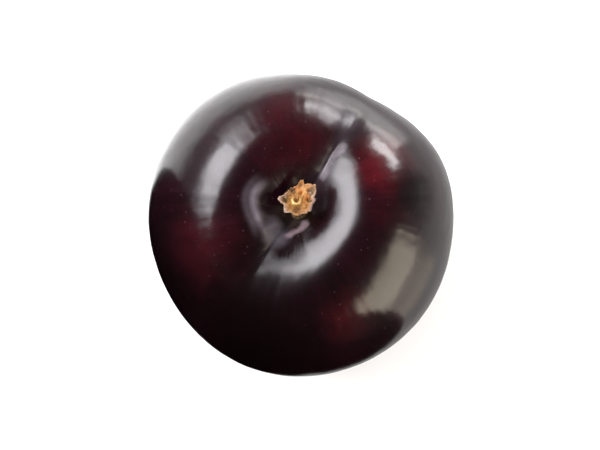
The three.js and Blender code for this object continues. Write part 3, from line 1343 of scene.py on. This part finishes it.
@dataclass
class Loft:
    """A closed solid of rings, from its lower pole up its side and in to its upper pole.

    Every point keeps a value for each mark.
    """

    name: str
    sides: int
    marks: tuple[str, ...]
    points: list[Vector] = field(default_factory=list)
    values: list[Sequence[float]] = field(default_factory=list)

    def ring(self, rule: Callable[[float], tuple[Vector, Sequence[float]]]) -> None:
        """Adds a ring.

        Args:
            rule: Gives the point and its marks' values for a turn in radians.
        """
        for step in range(self.sides):
            point, values = rule(math.tau * step / self.sides)
            self.points.append(point)
            self.values.append(values)

    def mesh(self, place: Matrix) -> bpy.types.Mesh:
        """Joins the rings and closes both ends.

        Args:
            place: Where it goes; it turns millimetres into metres.

        Returns:
            The mesh, smooth and marked.
        """
        count = self.sides
        rings = len(self.points) // count
        faces = []
        for low in range(0, (rings - 1) * count, count):
            for step in range(count):
                after = (step + 1) % count
                faces.append((low + step, low + after, low + count + after, low + count + step))
        poles = []
        for start, flip in ((0, True), ((rings - 1) * count, False)):
            edge = range(start, start + count)
            poles.append(sum((self.points[k] for k in edge), Vector()) / count)
            pole = rings * count + len(poles) - 1
            for step in range(count):
                pair = (start + step, start + (step + 1) % count)
                faces.append((pole, *(reversed(pair) if flip else pair)))
            self.values.append(self.values[start])
        mesh = bpy.data.meshes.new(self.name)
        mesh.from_pydata(self.points + poles, [], faces)
        for column, mark in enumerate(self.marks):
            layer = mesh.attributes.new(mark, "FLOAT", "POINT")
            layer.data.foreach_set("value", [values[column] for values in self.values])
        mesh.transform(place)
        mesh.polygons.foreach_set("use_smooth", [True] * len(mesh.polygons))
        mesh.update()
        return mesh


@dataclass(frozen=True)
class Wobble:
    """A noise that goes round the stalk and meets itself."""

    turns: float  # how quickly it changes round the stalk
    climb: float = 0.0  # how quickly it changes up the stalk
    start: float = 0.0  # where it starts in the pattern

    def at(self, turn: float, height: float = 0.0) -> float:
        """The noise, about from -1 to 1, at a turn in radians and a height in millimetres."""
        rise = height * self.climb + self.start
        return noise.noise(Vector((math.cos(turn) * self.turns, math.sin(turn) * self.turns, rise)))


@dataclass(frozen=True)
class Tip:
    """One of the ragged corners of the torn end."""

    turn: float  # degrees, in plan
    reach: float  # millimetres from the stalk's axis
    width: float  # degrees
    lift: float = 0.3  # millimetres that it curls up


@dataclass(frozen=True)
class Lump:
    """A lump or a pit in the torn end. Lengths are in millimetres."""

    across: float
    along: float
    radius: float
    height: float
    warmth: float = 0.0


@dataclass
class Stalk:
    """The short stalk, from its foot in the cavity to its flared, torn end. Lengths are in millimetres."""

    finish: StalkFinish
    shaft_radius: float = 1.15
    foot_radius: float = 1.85
    foot_fade: float = 0.85
    sink: float = 0.7
    flare_height: float = 2.9
    waist_radius: float = 2.65
    rim_drop: float = 0.40
    cup_depth: float = 0.70
    grain_size: float = 0.62
    grain_height: float = 0.30
    grain_middle: float = 0.35  # how far from a grain's edge it is level
    lean: float = 14.0  # degrees from upright
    lean_turn: float = -40.0  # degrees in plan, from +X
    sides: int = 168
    wall_rings: int = 68
    cup_rings: int = 46
    cup_start: float = 0.6  # how far inside the rim the cup's first ring lies, in rings
    foot_rings: tuple[float, ...] = (0.35, 0.75)  # as shares of the foot's radius
    tip_sharpness: float = 1.1
    roughness: Wobble = Wobble(4.0, start=7.3)
    rough_reach: float = 0.26
    rough_lift: float = 0.20
    teeth: Wobble = Wobble(11.0, start=2.1)
    tooth_middle: float = 0.35
    tooth_reach: float = 0.42
    tooth_lift: float = 0.40
    ribs: Wobble = Wobble(3.1, 0.16)
    rib_height: float = 0.10
    rib_share: float = 0.4  # of the marks on the wall
    knots: Wobble = Wobble(0.9, 0.45, 3.0)
    knot_share: float = 0.14  # of the shaft's radius
    bark: Wobble = Wobble(2.2, 1.3)
    bark_height: float = 0.22
    scar_place: float = 0.36  # as a share of the length
    scar_relief: float = 0.07
    scar_width: float = 0.20
    scar_wave: float = 0.12
    scar_phase: float = 3.24  # radians
    flare_straight: float = 0.35  # the share of the flare that is a plain cone; the rest curls out
    flare_rim: Span = (0.80, 1.0)  # of the flare's height, as is the next
    flare_torn: Span = (0.5, 1.0)
    wall_torn: float = 0.35  # how torn the wall is at the rim
    wall_warmth: float = 0.2
    wall_mauve: float = 1.2
    scale_place: float = 0.45  # of the flare's height, as is the next
    scale_spread: float = 0.3
    cup_edge: Span = (0.62, 1.0)  # of the way from the middle to the rim, as are the next three
    cup_rim: Span = (0.66, 0.96)
    ledge_place: float = 0.93
    ledge_width: float = 0.05
    ledge_height: float = 0.16
    rim_relief: float = 0.55  # how much of the torn face's relief is lost at the rim
    rim_wander: float = 0.35  # how far the relief shifts the pale rim
    high_relief: float = 0.85  # how quickly the mark for height follows the relief
    bend_scale: float = 1.7  # cells in a millimetre
    bend_reach: float = 0.5
    bend_apart: float = 5.0  # from its pattern along X to its pattern along Y, in cells
    swells: tuple[tuple[float, float], ...] = ((1.25, 0.20), (4.5, 0.09))  # cells in a millimetre, and height
    warm_power: float = 0.4  # how a lump's warmth falls away, as a power of its height
    ring_place: tuple[float, float] = (0.24, 0.13)
    ring_radius: float = 0.74
    ring_width: float = 0.33
    ring_height: float = 0.5
    ring_gap_turn: float = -75.0  # degrees, in plan, to the gap in the pale ring
    ring_gap: Span = (30.0, 75.0)  # degrees to either side of it
    pale_turns: tuple[Span, ...] = ((26.0, 30.0), (78.0, 18.0), (-172.0, 38.0))  # degrees: the turn and width
    pale_least: float = 0.12
    mauve_turn: float = -160.0  # degrees, in plan, to the side where the rim carries painted shade
    mauve_width: float = 50.0
    tips: tuple[Tip, ...] = (
        Tip(-72.0, 3.85, 15.0, 0.40),
        Tip(-111.0, 4.10, 46.0, 0.30),
        Tip(-157.0, 3.20, 30.0, 0.05),
        Tip(168.0, 3.25, 44.0, -0.20),
        Tip(117.0, 3.30, 30.0, -0.20),
        Tip(79.0, 3.40, 24.0, 0.00),
        Tip(30.0, 3.75, 22.0, 0.45),
    )
    lumps: tuple[Lump, ...] = (
        Lump(0.45, -2.05, 0.95, 0.42, 1.0),
        Lump(-0.45, -2.95, 0.95, 0.36, 1.0),
        Lump(-1.15, -1.75, 0.85, 0.30, 1.0),
        Lump(-0.86, -2.63, 0.36, -0.55, 0.8),
        Lump(-1.65, -3.05, 0.34, -0.50, 0.5),
        Lump(-1.60, -1.15, 0.34, -0.45, 0.5),
        Lump(0.20, -1.50, 0.26, -0.40, 0.6),
        Lump(2.00, -1.26, 0.48, -0.50, 0.2),
        Lump(-1.75, 0.45, 0.42, 0.22),
        Lump(-0.90, 1.70, 0.60, -0.45),
        Lump(0.24, 0.13, 0.40, -0.34),
    )

    def build(self, axis: Vector) -> bpy.types.Object:
        """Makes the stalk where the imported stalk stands.

        Args:
            axis: The fruit's own axis at the base, in metres.

        Returns:
            The stalk.
        """
        low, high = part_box("stem")
        foot = Vector((axis.x, axis.y, low[2] - self.sink * MM))
        turn = Matrix.Rotation(math.radians(self.lean_turn), 4, "Z")
        lean = turn @ Matrix.Rotation(math.radians(self.lean), 4, "Y") @ turn.inverted()
        length = (high[2] - low[2]) / MM + self.sink - self.tips[0].lift
        loft = Loft("stalk", self.sides, ("torn", "rim", "high", "warm", "band"))
        plain = (0.0, 0.0, 0.5, 0.0, 0.0)
        for share in self.foot_rings:
            loft.ring(lambda turn: (self._round(turn, self.foot_radius * share, 0.0), plain))
        for step in range(self.wall_rings):
            share = step / (self.wall_rings - 1)
            loft.ring(lambda turn: self._wall(turn, share, length))
        for step in range(self.cup_rings):
            share = 1.0 - (step + self.cup_start) / self.cup_rings
            loft.ring(lambda turn: self._cup(turn, share, length))
        stalk = add_object("stalk", loft.mesh(Matrix.Translation(foot) @ lean @ Matrix.Scale(MM, 4)))
        stalk.data.materials.append(self.finish.material())
        return stalk

    def _round(self, turn: float, radius: float, height: float) -> Vector:
        """A point at a turn, a radius and a height."""
        return Vector((radius * math.cos(turn), radius * math.sin(turn), height))

    def _rim(self, turn: float) -> tuple[float, float]:
        """The ragged rim.

        Args:
            turn: Radians, in plan.

        Returns:
            The rim's radius, and how far it stands above the plain rim.
        """
        radius, rise = self.waist_radius, -self.rim_drop
        for tip in self.tips:
            share = max(0.0, 1.0 - abs(turned(turn, tip.turn)) / tip.width)
            if share > 0.0:
                reach = (tip.reach - self.waist_radius) * share**self.tip_sharpness
                radius = max(radius, self.waist_radius + reach)
                rise = max(rise, tip.lift * share - self.rim_drop * (1.0 - share))
        rough = self.roughness.at(turn)
        tooth = self.tooth_middle - abs(self.teeth.at(turn))
        radius += self.rough_reach * rough + self.tooth_reach * tooth
        return radius, rise + self.rough_lift * rough + self.tooth_lift * tooth

    def _wall(self, turn: float, share: float, length: float) -> tuple[Vector, Sequence[float]]:
        """The outside, from the foot to the rim.

        Args:
            turn: Radians, in plan.
            share: 0 at the foot and 1 at the rim.
            length: The stalk's length.

        Returns:
            The point and its marks.
        """
        rim_radius, rise = self._rim(turn)
        height = share * (length + rise)
        flare = min(max(1.0 - (length + rise - height) / self.flare_height, 0.0), 1.0)
        rib = self.ribs.at(turn, height)
        knot = self.knot_share * self.knots.at(turn, height)
        radius = self.shaft_radius * (1.0 + knot) + self.rib_height * rib
        foot = math.exp(-max(height - self.sink, 0.0) / self.foot_fade)
        radius += (self.foot_radius - self.shaft_radius) * foot
        scar = self.scar_place * length + self.scar_wave * math.sin(turn + self.scar_phase)
        radius += self.scar_relief * hump(height - scar, self.scar_width)
        flared = self.flare_straight * flare + (1.0 - self.flare_straight) * flare**3
        radius += (rim_radius - radius) * flared
        radius += self.bark_height * self.bark.at(turn, height) * math.sin(math.pi * flare)
        torn = self.wall_torn * smooth(flare, *self.flare_torn)
        ribbed = 1.0 - self.rib_share + self.rib_share * rib
        rim = smooth(flare, *self.flare_rim) * ribbed * self._pale(turn)
        high = 0.5 + self.rib_share * rib
        # the rim's painted shade lowers the mark for warmth
        warm = self.wall_warmth + self.wall_mauve * self._mauve(turn, rim)
        band = hump(flare - self.scale_place, self.scale_spread)
        return self._round(turn, radius, height), (torn, rim, high, warm, band)

    def _cup(self, turn: float, share: float, length: float) -> tuple[Vector, Sequence[float]]:
        """The torn face, inside the rim.

        Args:
            turn: Radians, in plan.
            share: 1 at the rim and 0 in the middle.
            length: The stalk's length.

        Returns:
            The point and its marks.
        """
        rim_radius, rise = self._rim(turn)
        point = self._round(turn, rim_radius * share, 0.0)
        edge = smooth(share, *self.cup_edge)
        relief, warm = self._relief(point)
        ledge = self.ledge_height * hump(share - self.ledge_place, self.ledge_width)
        bottom = length - self.cup_depth
        point.z = bottom + (rise + self.cup_depth) * edge + relief * (1.0 - self.rim_relief * edge) + ledge
        edge = smooth(share + self.rim_wander * relief, *self.cup_rim)
        # the rim's painted shade joins the pale rim and lowers the mark for warmth
        rim = edge * max(self._pale(turn), -self._mauve(turn, 1.0))
        warm += self._mauve(turn, edge)
        high = min(max(0.5 + self.high_relief * relief, 0.0), 1.0)
        return point, (1.0, rim, high, warm, 0.0)

    def _pale(self, turn: float) -> float:
        """How pale the rim is at a turn in radians: it is dry and pale only along parts of it."""
        shares = (hump(turned(turn, middle), width) for middle, width in self.pale_turns)
        return self.pale_least + (1.0 - self.pale_least) * min(sum(shares), 1.0)

    def _mauve(self, turn: float, edge: float) -> float:
        """How much painted shade the rim takes at a turn in radians, on the side away from the window light:
        a share below 0 that it takes off the mark for warmth.
        """
        return -hump(turned(turn, self.mauve_turn), self.mauve_width) * edge

    def _relief(self, point: Vector) -> tuple[float, float]:
        """The torn face's lumps and grains.

        Args:
            point: A place on the face.

        Returns:
            How high it stands, and how orange it is.
        """
        place = point * self.bend_scale
        bend = Vector((noise.noise(place), noise.noise(place + UP * self.bend_apart), 0.0))
        bent = point + bend * self.bend_reach
        near_grain, next_grain = noise.voronoi(bent / self.grain_size)[0][:2]
        height = self.grain_height * (min(next_grain - near_grain, 2 * self.grain_middle) - self.grain_middle)
        height += sum(rise * noise.noise(point * scale) for scale, rise in self.swells)
        warm = 0.0
        for lump in self.lumps:
            near = hump(math.hypot(point.x - lump.across, point.y - lump.along), lump.radius)
            height += lump.height * near
            warm = max(warm, lump.warmth * near**self.warm_power)
        x, y = point.x - self.ring_place[0], point.y - self.ring_place[1]
        away = turned(math.atan2(y, x), self.ring_gap_turn)
        ridge = hump(math.hypot(x, y) - self.ring_radius, self.ring_width)
        return height + self.ring_height * ridge * smooth(abs(away), *self.ring_gap), warm


@dataclass
class Fringe:
    """Dry scales under the stalk's torn rim, teeth along the rim and splinters inside it.

    Lengths are in millimetres. A lift is how steeply a piece leaves the surface, where 1 is half way out. A
    size is what it is scaled by. Both give the least and the most.
    """

    finish: StalkFinish
    scale_length: float = 1.5
    scale_width: float = 1.0
    scale_thickness: float = 0.12
    scale_spacing: float = 1.05
    scale_lift: Span = (0.25, 0.75)
    scale_size: Span = (0.75, 1.2)
    scale_root: float = 0.12  # the share of its length that is behind the point it stands on
    scale_tip: float = 0.08  # how wide it is at its tip, as a share
    scale_rise: float = 0.16  # how far it curls up along its length, as a share
    scale_droop: float = 0.30  # and down to its sides
    scale_taper: float = 0.6
    scale_pale: float = 0.5  # how pale it is at its tip
    scale_pale_span: Span = (0.30, 1.0)  # of its length
    tooth_spacing: float = 0.50
    tooth_lift: Span = (0.1, 0.9)
    tooth_size: Span = (0.252, 0.546)
    splinter_length: float = 0.60
    splinter_radius: float = 0.06
    splinter_tip_radius: float = 0.01
    splinter_pale_span: Span = (0.2, 0.9)  # of its length
    splinter_spacing: float = 0.85
    splinter_lift: Span = (0.4, 1.5)
    splinter_size: Span = (0.5, 1.1)
    bark_torn: float = 0.6  # the bark is torn less than this, and the pith more than the next
    pith_torn: float = 0.9
    scale_band: float = 0.55  # the stalk's mark above which there are scales
    tooth_rim: float = 0.62  # the stalk's mark above which there are teeth, and then splinters
    splinter_rim: float = 0.15
    marks: tuple[tuple[str, float], ...] = (("torn", 0.45), ("high", 0.60), ("warm", 0.2))
    sway: float = 0.25  # how far a piece may turn aside
    densest: float = 4.0e6  # to a square metre, before the spacing thins them
    seed: int = 11

    def build(self, stalk: bpy.types.Object) -> bpy.types.Object:
        """Makes the scales, the teeth and the splinters.

        Args:
            stalk: The stalk that they stand on.

        Returns:
            The fringe, as one piece.
        """
        recipe = Recipe("stalk_fringe")
        material = recipe.setting("Material", self.finish.material())
        seed = recipe.setting("Seed", self.seed)
        wood = recipe.setting("Stalk", stalk)
        wood = recipe.node("GeometryNodeObjectInfo", Object=wood).outputs["Geometry"]
        torn, rim, band = (recipe.stored(name) for name in ("torn", "rim", "band"))
        outside = torn.math("LESS_THAN", self.bark_torn)
        blade, splinter = self._blade(recipe), self._splinter(recipe)
        spacing = recipe.setting("Scale spacing", self.scale_spacing * MM)
        under = outside * band.math("GREATER_THAN", self.scale_band)
        scales = self._scatter(recipe, wood, under, spacing, blade, seed, self.scale_lift, self.scale_size)
        spacing = recipe.setting("Tooth spacing", self.tooth_spacing * MM)
        edge = rim.math("GREATER_THAN", self.tooth_rim) * outside
        teeth = self._scatter(recipe, wood, edge, spacing, blade, seed + 10, self.tooth_lift, self.tooth_size)
        spacing = recipe.setting("Splinter spacing", self.splinter_spacing * MM)
        inside = torn.math("GREATER_THAN", self.pith_torn) * rim.math("GREATER_THAN", self.splinter_rim)
        lift, size = self.splinter_lift, self.splinter_size
        fibres = self._scatter(recipe, wood, inside, spacing, splinter, seed + 20, lift, size)
        join = recipe.tree.nodes.new("GeometryNodeJoinGeometry")
        for part in (scales, teeth, fibres):
            recipe.tree.links.new(part, join.inputs[0])
        marked = join.outputs[0]
        for name, value in self.marks:
            marked = recipe.remember(marked, name, value)
        recipe.finish(marked, material)
        return recipe.cook()

    def _scatter(
        self,
        recipe: Recipe,
        wood: bpy.types.NodeSocket,
        where: Term,
        spacing: Term,
        shape: bpy.types.NodeSocket,
        seed: Term,
        lift: Span,
        size: Span,
    ) -> bpy.types.NodeSocket:
        """Sets a shape on part of the stalk's surface, pointing up and away from it.

        Args:
            recipe: The tree.
            wood: The stalk's surface.
            where: 1 on the faces that take the shape, and 0 elsewhere.
            spacing: The least distance between two of them, in metres.
            shape: The shape, which points along X from its root, with Z outward.
            seed: The random seed.
            lift: How steeply it leaves the surface, least and most, where 1 is half way out.
            size: The least and the most that it is scaled by.

        Returns:
            The shapes, made real.
        """
        points = recipe.tree.nodes.new("GeometryNodeDistributePointsOnFaces")
        points.distribute_method = "POISSON"
        for name, value in (("Mesh", wood), ("Selection", where), ("Distance Min", spacing), ("Seed", seed)):
            plug(recipe.tree, value, points.inputs[name])
        points.inputs["Density Max"].default_value = self.densest
        normal = Term(recipe.tree, points.outputs["Normal"])
        steep = normal.arrow("SCALE", 1.0)
        plug(recipe.tree, recipe.chance(*lift, seed + 1), steep.source.node.inputs["Scale"])
        aside = [recipe.chance(-self.sway, self.sway, seed + step) for step in (2, 3)]
        along = vector(*aside, 1.0).arrow("ADD", steep).arrow("NORMALIZE")
        turned = recipe.node("FunctionNodeAlignRotationToVector", Vector=along)
        turned.axis = "X"
        faced = recipe.node("FunctionNodeAlignRotationToVector", Rotation=turned.outputs[0], Vector=normal)
        faced.axis = "Z"
        faced.pivot_axis = "X"
        placed = recipe.node("GeometryNodeInstanceOnPoints", Points=points.outputs["Points"], Instance=shape)
        plug(recipe.tree, faced.outputs[0], placed.inputs["Rotation"])
        plug(recipe.tree, recipe.chance(*size, seed + 4), placed.inputs["Scale"])
        return recipe.node("GeometryNodeRealizeInstances", Geometry=placed.outputs[0]).outputs[0]

    def _blade(self, recipe: Recipe) -> bpy.types.NodeSocket:
        """A dry scale: a thin curved blade that narrows to its tip.

        Args:
            recipe: The tree.

        Returns:
            The scale, from its root along X, with Z outward.
        """
        length = recipe.setting("Scale length", self.scale_length * MM)
        width = recipe.setting("Scale width", self.scale_width * MM)
        thickness = recipe.setting("Scale thickness", self.scale_thickness * MM)
        unit = (1.0, 1.0, 1.0)
        blank = recipe.node("GeometryNodeMeshCube", Size=unit, Vertices_X=8, Vertices_Y=6, Vertices_Z=2)
        x, y, z = recipe.field("GeometryNodeInputPosition").axes()
        along = x + 0.5
        pale = along.ramp(*self.scale_pale_span) * self.scale_pale
        marked = recipe.remember(blank.outputs["Mesh"], "rim", pale)
        side = y * at_least(self.scale_tip, 1.0 - along * along * along)
        curl = along * along * self.scale_rise - side * side * self.scale_droop
        height = curl * length + z * thickness * (1.0 - self.scale_taper * along)
        point = vector((along - self.scale_root) * length, side * width, height)
        return recipe.node("GeometryNodeSetPosition", Geometry=marked, Position=point).outputs[0]

    def _splinter(self, recipe: Recipe) -> bpy.types.NodeSocket:
        """A splinter: a short sharp fibre.

        Args:
            recipe: The tree.

        Returns:
            The splinter, from its root along X.
        """
        length = recipe.setting("Splinter length", self.splinter_length * MM)
        radius = recipe.setting("Splinter radius", self.splinter_radius * MM)
        cone = recipe.node("GeometryNodeMeshCone", Vertices=7, Side_Segments=3)
        tip = self.splinter_tip_radius * MM
        for name, value in (("Radius Top", tip), ("Radius Bottom", radius), ("Depth", length)):
            plug(recipe.tree, value, cone.inputs[name])
        quarter = (0.0, math.pi / 2, 0.0)
        level = recipe.node("GeometryNodeTransform", Geometry=cone.outputs[0], Rotation=quarter)
        along = recipe.field("GeometryNodeInputPosition").axes()[0] / length
        return recipe.remember(level.outputs[0], "rim", along.ramp(*self.splinter_pale_span))


# --------------------------------------------------------------------------------------------------
# The table, the lights and the camera
# --------------------------------------------------------------------------------------------------


@dataclass(frozen=True)
class Picture:
    """How the picture's axes lie over the plum: right and up in the picture, as seen from straight above."""

    suture_turn: float = 58.1  # degrees from the picture's right to the suture, anticlockwise
    elevation: float = 82.0

    def axis(self, turn: float) -> Vector:
        """The level direction at an angle from the picture's right.

        Args:
            turn: Degrees, anticlockwise in the picture.

        Returns:
            A unit vector.
        """
        angle = math.radians(turn - self.suture_turn) - math.pi / 2
        return Vector((math.cos(angle), math.sin(angle), 0.0))

    def towards(self, turn: float, tilt: float) -> Vector:
        """The direction at a turn in the picture and a tilt from straight up, in degrees."""
        away = math.radians(tilt)
        return self.axis(turn) * math.sin(away) + UP * math.cos(away)


def facing(origin: Vector, out: Vector, across: Vector) -> Matrix:
    """A frame at a point whose Z is a direction out and whose X is close to a direction across.

    Args:
        origin: The frame's origin.
        out: Its Z axis.
        across: Roughly its X axis.

    Returns:
        The frame.
    """
    z = out.normalized()
    x = (across - across.dot(z) * z).normalized()
    return Matrix.Translation(origin) @ Matrix((x, z.cross(x), z)).transposed().to_4x4()


@dataclass(frozen=True)
class Softbox:
    """A soft rectangular light, aimed at the plum."""

    name: str
    turn: float  # degrees round the picture, anticlockwise from its right
    tilt: float  # degrees from straight up
    distance: float  # metres
    width: float  # degrees of arc, round the picture
    height: float  # degrees of arc, up and down
    radiance: float
    colour: Colour = (1.0, 1.0, 1.0)

    def build(self, picture: Picture, target: Vector) -> None:
        """Hangs the light.

        Args:
            picture: The picture's axes.
            target: What it is aimed at.
        """
        lamp = bpy.data.lights.new(self.name, "AREA")
        lamp.shape = "RECTANGLE"
        lamp.size = 2 * self.distance * math.tan(math.radians(self.width / 2))
        lamp.size_y = 2 * self.distance * math.tan(math.radians(self.height / 2))
        lamp.energy = self.radiance * math.pi * lamp.size * lamp.size_y
        lamp.color = self.colour
        out = picture.towards(self.turn, self.tilt)
        light = bpy.data.objects.new(self.name, lamp)
        light.matrix_world = facing(target + out * self.distance, out, picture.axis(self.turn + 90.0))
        bpy.context.scene.collection.objects.link(light)


@dataclass(frozen=True)
class Flag:
    """A round black card that stands beside the plum and darkens one side of it in reflections."""

    name: str
    turn: float  # degrees round the picture, anticlockwise from its right
    distance: float  # metres
    radius: float  # metres
    sides: int = 64

    def build(self, picture: Picture, axis: Vector, material: bpy.types.Material) -> None:
        """Stands the card on the table.

        Args:
            picture: The picture's axes.
            axis: The fruit's own axis at the base, in metres.
            material: The card's black.
        """
        out = picture.axis(self.turn)
        across = UP.cross(out)
        middle = axis + out * self.distance + UP * self.radius
        edge = []
        for step in range(self.sides):
            angle = math.tau * step / self.sides
            edge.append(middle + (across * math.cos(angle) + UP * math.sin(angle)) * self.radius)
        card_from(self.name, edge, material)


def card_from(name: str, edge: Sequence[Vector], material: bpy.types.Material) -> None:
    """Makes a flat card that only reflections see.

    Args:
        name: The card's name.
        edge: Its corners.
        material: Its finish.
    """
    mesh = bpy.data.meshes.new(name)
    mesh.from_pydata(edge, [], [range(len(edge))])
    mesh.materials.append(material)
    card = add_object(name, mesh)
    for sight in ("camera", "diffuse", "transmission", "volume_scatter", "shadow"):
        setattr(card, "visible_" + sight, False)


@dataclass(frozen=True)
class Bounce:
    """A glowing card that lies on the table and brightens one side's edge in reflections."""

    name: str
    turn: float  # degrees round the picture, anticlockwise from its right
    spread: float  # degrees
    near: float  # metres from the plum's axis
    far: float  # metres
    radiance: float
    colour: Colour = (1.0, 1.0, 1.0)
    height: float = 0.0004  # metres above the table
    steps: int = 24
    fade_out: float = 1.8  # times the near radius, where it reaches its full light
    fade_side: float = 0.97  # the cosine of the turn from its middle where it does

    def build(self, picture: Picture) -> None:
        """Lays the card on the table, as part of a ring.

        Args:
            picture: The picture's axes.
        """
        edge = []
        for radius, order in ((self.near, range(self.steps + 1)), (self.far, range(self.steps, -1, -1))):
            for step in order:
                turn = self.turn + self.spread * (step / self.steps - 0.5)
                edge.append(picture.axis(turn) * radius + UP * self.height)
        paint = Paintbox(self.name)
        away = paint.point.arrow("LENGTH").ramp(self.near, self.near * self.fade_out)
        side = paint.point.arrow("NORMALIZE").arrow("DOT_PRODUCT", picture.axis(self.turn))
        fade = away * side.ramp(math.cos(math.radians(self.spread / 2)), self.fade_side)
        paint.drive(Emission_Color=(*self.colour, 1.0), Emission_Strength=self.radiance, Alpha=fade)
        paint.drive(Base_Color=(0.0, 0.0, 0.0, 1.0), Roughness=1.0, Specular_IOR_Level=0.0)
        card_from(self.name, edge, paint.material)


@dataclass(frozen=True)
class Studio:
    """A pale table in a pale room, with soft lights."""

    picture: Picture = Picture()
    softboxes: tuple[Softbox, ...] = (
        Softbox("window_light", 152.6, 50.2, 0.7, 38.0, 25.6, 9.4, (0.985, 0.98, 1.02)),
        Softbox("window_glow", 150.5, 50.7, 0.7, 56.0, 36.0, 4.3, (0.985, 0.98, 1.02)),
        Softbox("side_light", 56.0, 73.2, 0.8, 35.0, 11.0, 17.5),
        Softbox("low_side_light", 64.0, 89.0, 0.8, 34.0, 8.0, 9.5, (1.0, 0.99, 0.95)),
        Softbox("warm_light", 330.5, 87.7, 0.8, 45.0, 54.0, 5.2, (1.0, 0.885, 0.71)),
        Softbox("top_left_light", 122.0, 70.0, 0.8, 19.0, 23.7, 2.1),
    )
    flags: tuple[Flag, ...] = (
        Flag("flag_left", 200.0, 0.0301, 0.027),
        Flag("flag_lower_left", 243.5, 0.030, 0.027),
        Flag("flag_below", 282.0, 0.0364, 0.027),
    )
    bounces: tuple[Bounce, ...] = (
        Bounce("bounce_card", 130.0, 110.0, 0.025, 0.30, 2.4),
        Bounce("side_bounce_card", 64.0, 42.0, 0.095, 0.60, 3.4),
        Bounce("warm_bounce_card", 330.0, 50.0, 0.060, 0.60, 2.0, (1.0, 0.90, 0.77)),
    )
    flag_black: Colour = (0.004, 0.001, 0.002)
    table_half: float = 3.0  # metres
    table_white: float = 0.95
    table_seen_in_skin: float = 0.38
    room_white: float = 0.9
    room_light: float = 1.0
    room_seen_in_skin: float = 0.01
    horizon_seen_in_skin: float = 0.36
    horizon_height: float = 0.5  # the sine of the angle up to where the room is at its darkest
    camera_distance: float = 0.62  # metres, as are the next two
    aim_height: float = 0.027
    aim_below: float = 0.0004  # how far the picture's middle lies below the fruit's axis, in the picture
    fruit_width_px: float = 302.1
    picture_width_px: float = 600.0
    fruit_mean_width: float = 0.057  # metres
    sensor: float = 36.0  # millimetres

    def build(self, axis: Vector) -> None:
        """Sets the table, the room, the lights and the camera.

        Args:
            axis: The fruit's own axis at the base, in metres.
        """
        target = axis + UP * self.aim_height
        self._table()
        self._room()
        for softbox in self.softboxes:
            softbox.build(self.picture, target)
        black = Paintbox("flag_black")
        black.drive(Base_Color=(*self.flag_black, 1.0), Roughness=0.9, Specular_IOR_Level=0.0)
        for flag in self.flags:
            flag.build(self.picture, axis, black.material)
        for bounce in self.bounces:
            bounce.build(self.picture)
        self._camera(target - self.picture.axis(90.0) * self.aim_below)

    def _table(self) -> None:
        """The pale table top, which the glossy skin sees darker than the camera does."""
        half = self.table_half
        corners = [(-half, -half, 0.0), (half, -half, 0.0), (half, half, 0.0), (-half, half, 0.0)]
        mesh = bpy.data.meshes.new("table_top")
        mesh.from_pydata(corners, [], [range(len(corners))])
        paint = Paintbox("table_white")
        ray = paint.tree.nodes.new("ShaderNodeLightPath")
        seen = Term(paint.tree, ray.outputs["Is Glossy Ray"])
        white, grey = (self.table_white,) * 3, (self.table_seen_in_skin,) * 3
        paint.drive(Base_Color=paint.blend(white, grey, seen), Roughness=0.9, Specular_IOR_Level=0.2)
        mesh.materials.append(paint.material)
        add_object("table_top", mesh)

    def _room(self) -> None:
        """A white room, which the glossy skin sees dark overhead and paler at the horizon."""
        world = bpy.data.worlds.new("room")
        bpy.context.scene.world = world
        world.use_nodes = True
        tree = world.node_tree
        ray = tree.nodes.new("ShaderNodeLightPath")
        camera, glossy = (Term(tree, ray.outputs[name]) for name in ("Is Camera Ray", "Is Glossy Ray"))
        up = Term(tree, tree.nodes.new("ShaderNodeTexCoord").outputs["Generated"]).axes()[2]
        reflected = mix(self.horizon_seen_in_skin, self.room_seen_in_skin, up.ramp(0.0, self.horizon_height))
        light = mix(self.room_light, self.room_white, camera)
        level = mix(light, reflected, glossy)
        plug(tree, vector(level, level, level), tree.nodes["Background"].inputs["Color"])

    def _camera(self, target: Vector) -> None:
        """The camera, looking down on the stalk.

        Args:
            target: The middle of the picture.
        """
        lens = bpy.data.cameras.new("camera")
        camera = bpy.data.objects.new("camera", lens)
        bpy.context.scene.collection.objects.link(camera)
        out = self.picture.towards(270.0, 90.0 - self.picture.elevation)
        camera.matrix_world = facing(target + out * self.camera_distance, out, self.picture.axis(0.0))
        width = self.picture_width_px * self.fruit_mean_width / self.fruit_width_px
        lens.sensor_width = self.sensor
        lens.lens = self.sensor * self.camera_distance / width
        bpy.context.scene.camera = camera
        bpy.context.scene.view_settings.view_transform = "Standard"


# --------------------------------------------------------------------------------------------------


def declare(piece: bpy.types.Object, replaces: str | None = None) -> None:
    """Tells the frame about a piece.

    Args:
        piece: The piece.
        replaces: The CAD node that it stands for, if any.
    """
    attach(piece, ROOT)
    if replaces:
        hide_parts(replaces)
    LOG.info("%s: %d faces, %d vertices", piece.name, len(piece.data.polygons), len(piece.data.vertices))


def main() -> None:
    """Builds the plum and its studio."""
    logging.basicConfig(level=logging.INFO, format="%(name)s: %(message)s")
    effects = Effects(Streaks(), Bloom(), Dots())
    fruit, axis = Fruit(SkinFinish(effects)).build()
    Studio().build(axis)
    declare(fruit, "fruit")
    wood = StalkFinish(effects)
    stalk = Stalk(wood).build(axis)
    declare(stalk, "stem")
    declare(Fringe(wood).build(stalk))


if __name__ == "__main__":
    main()
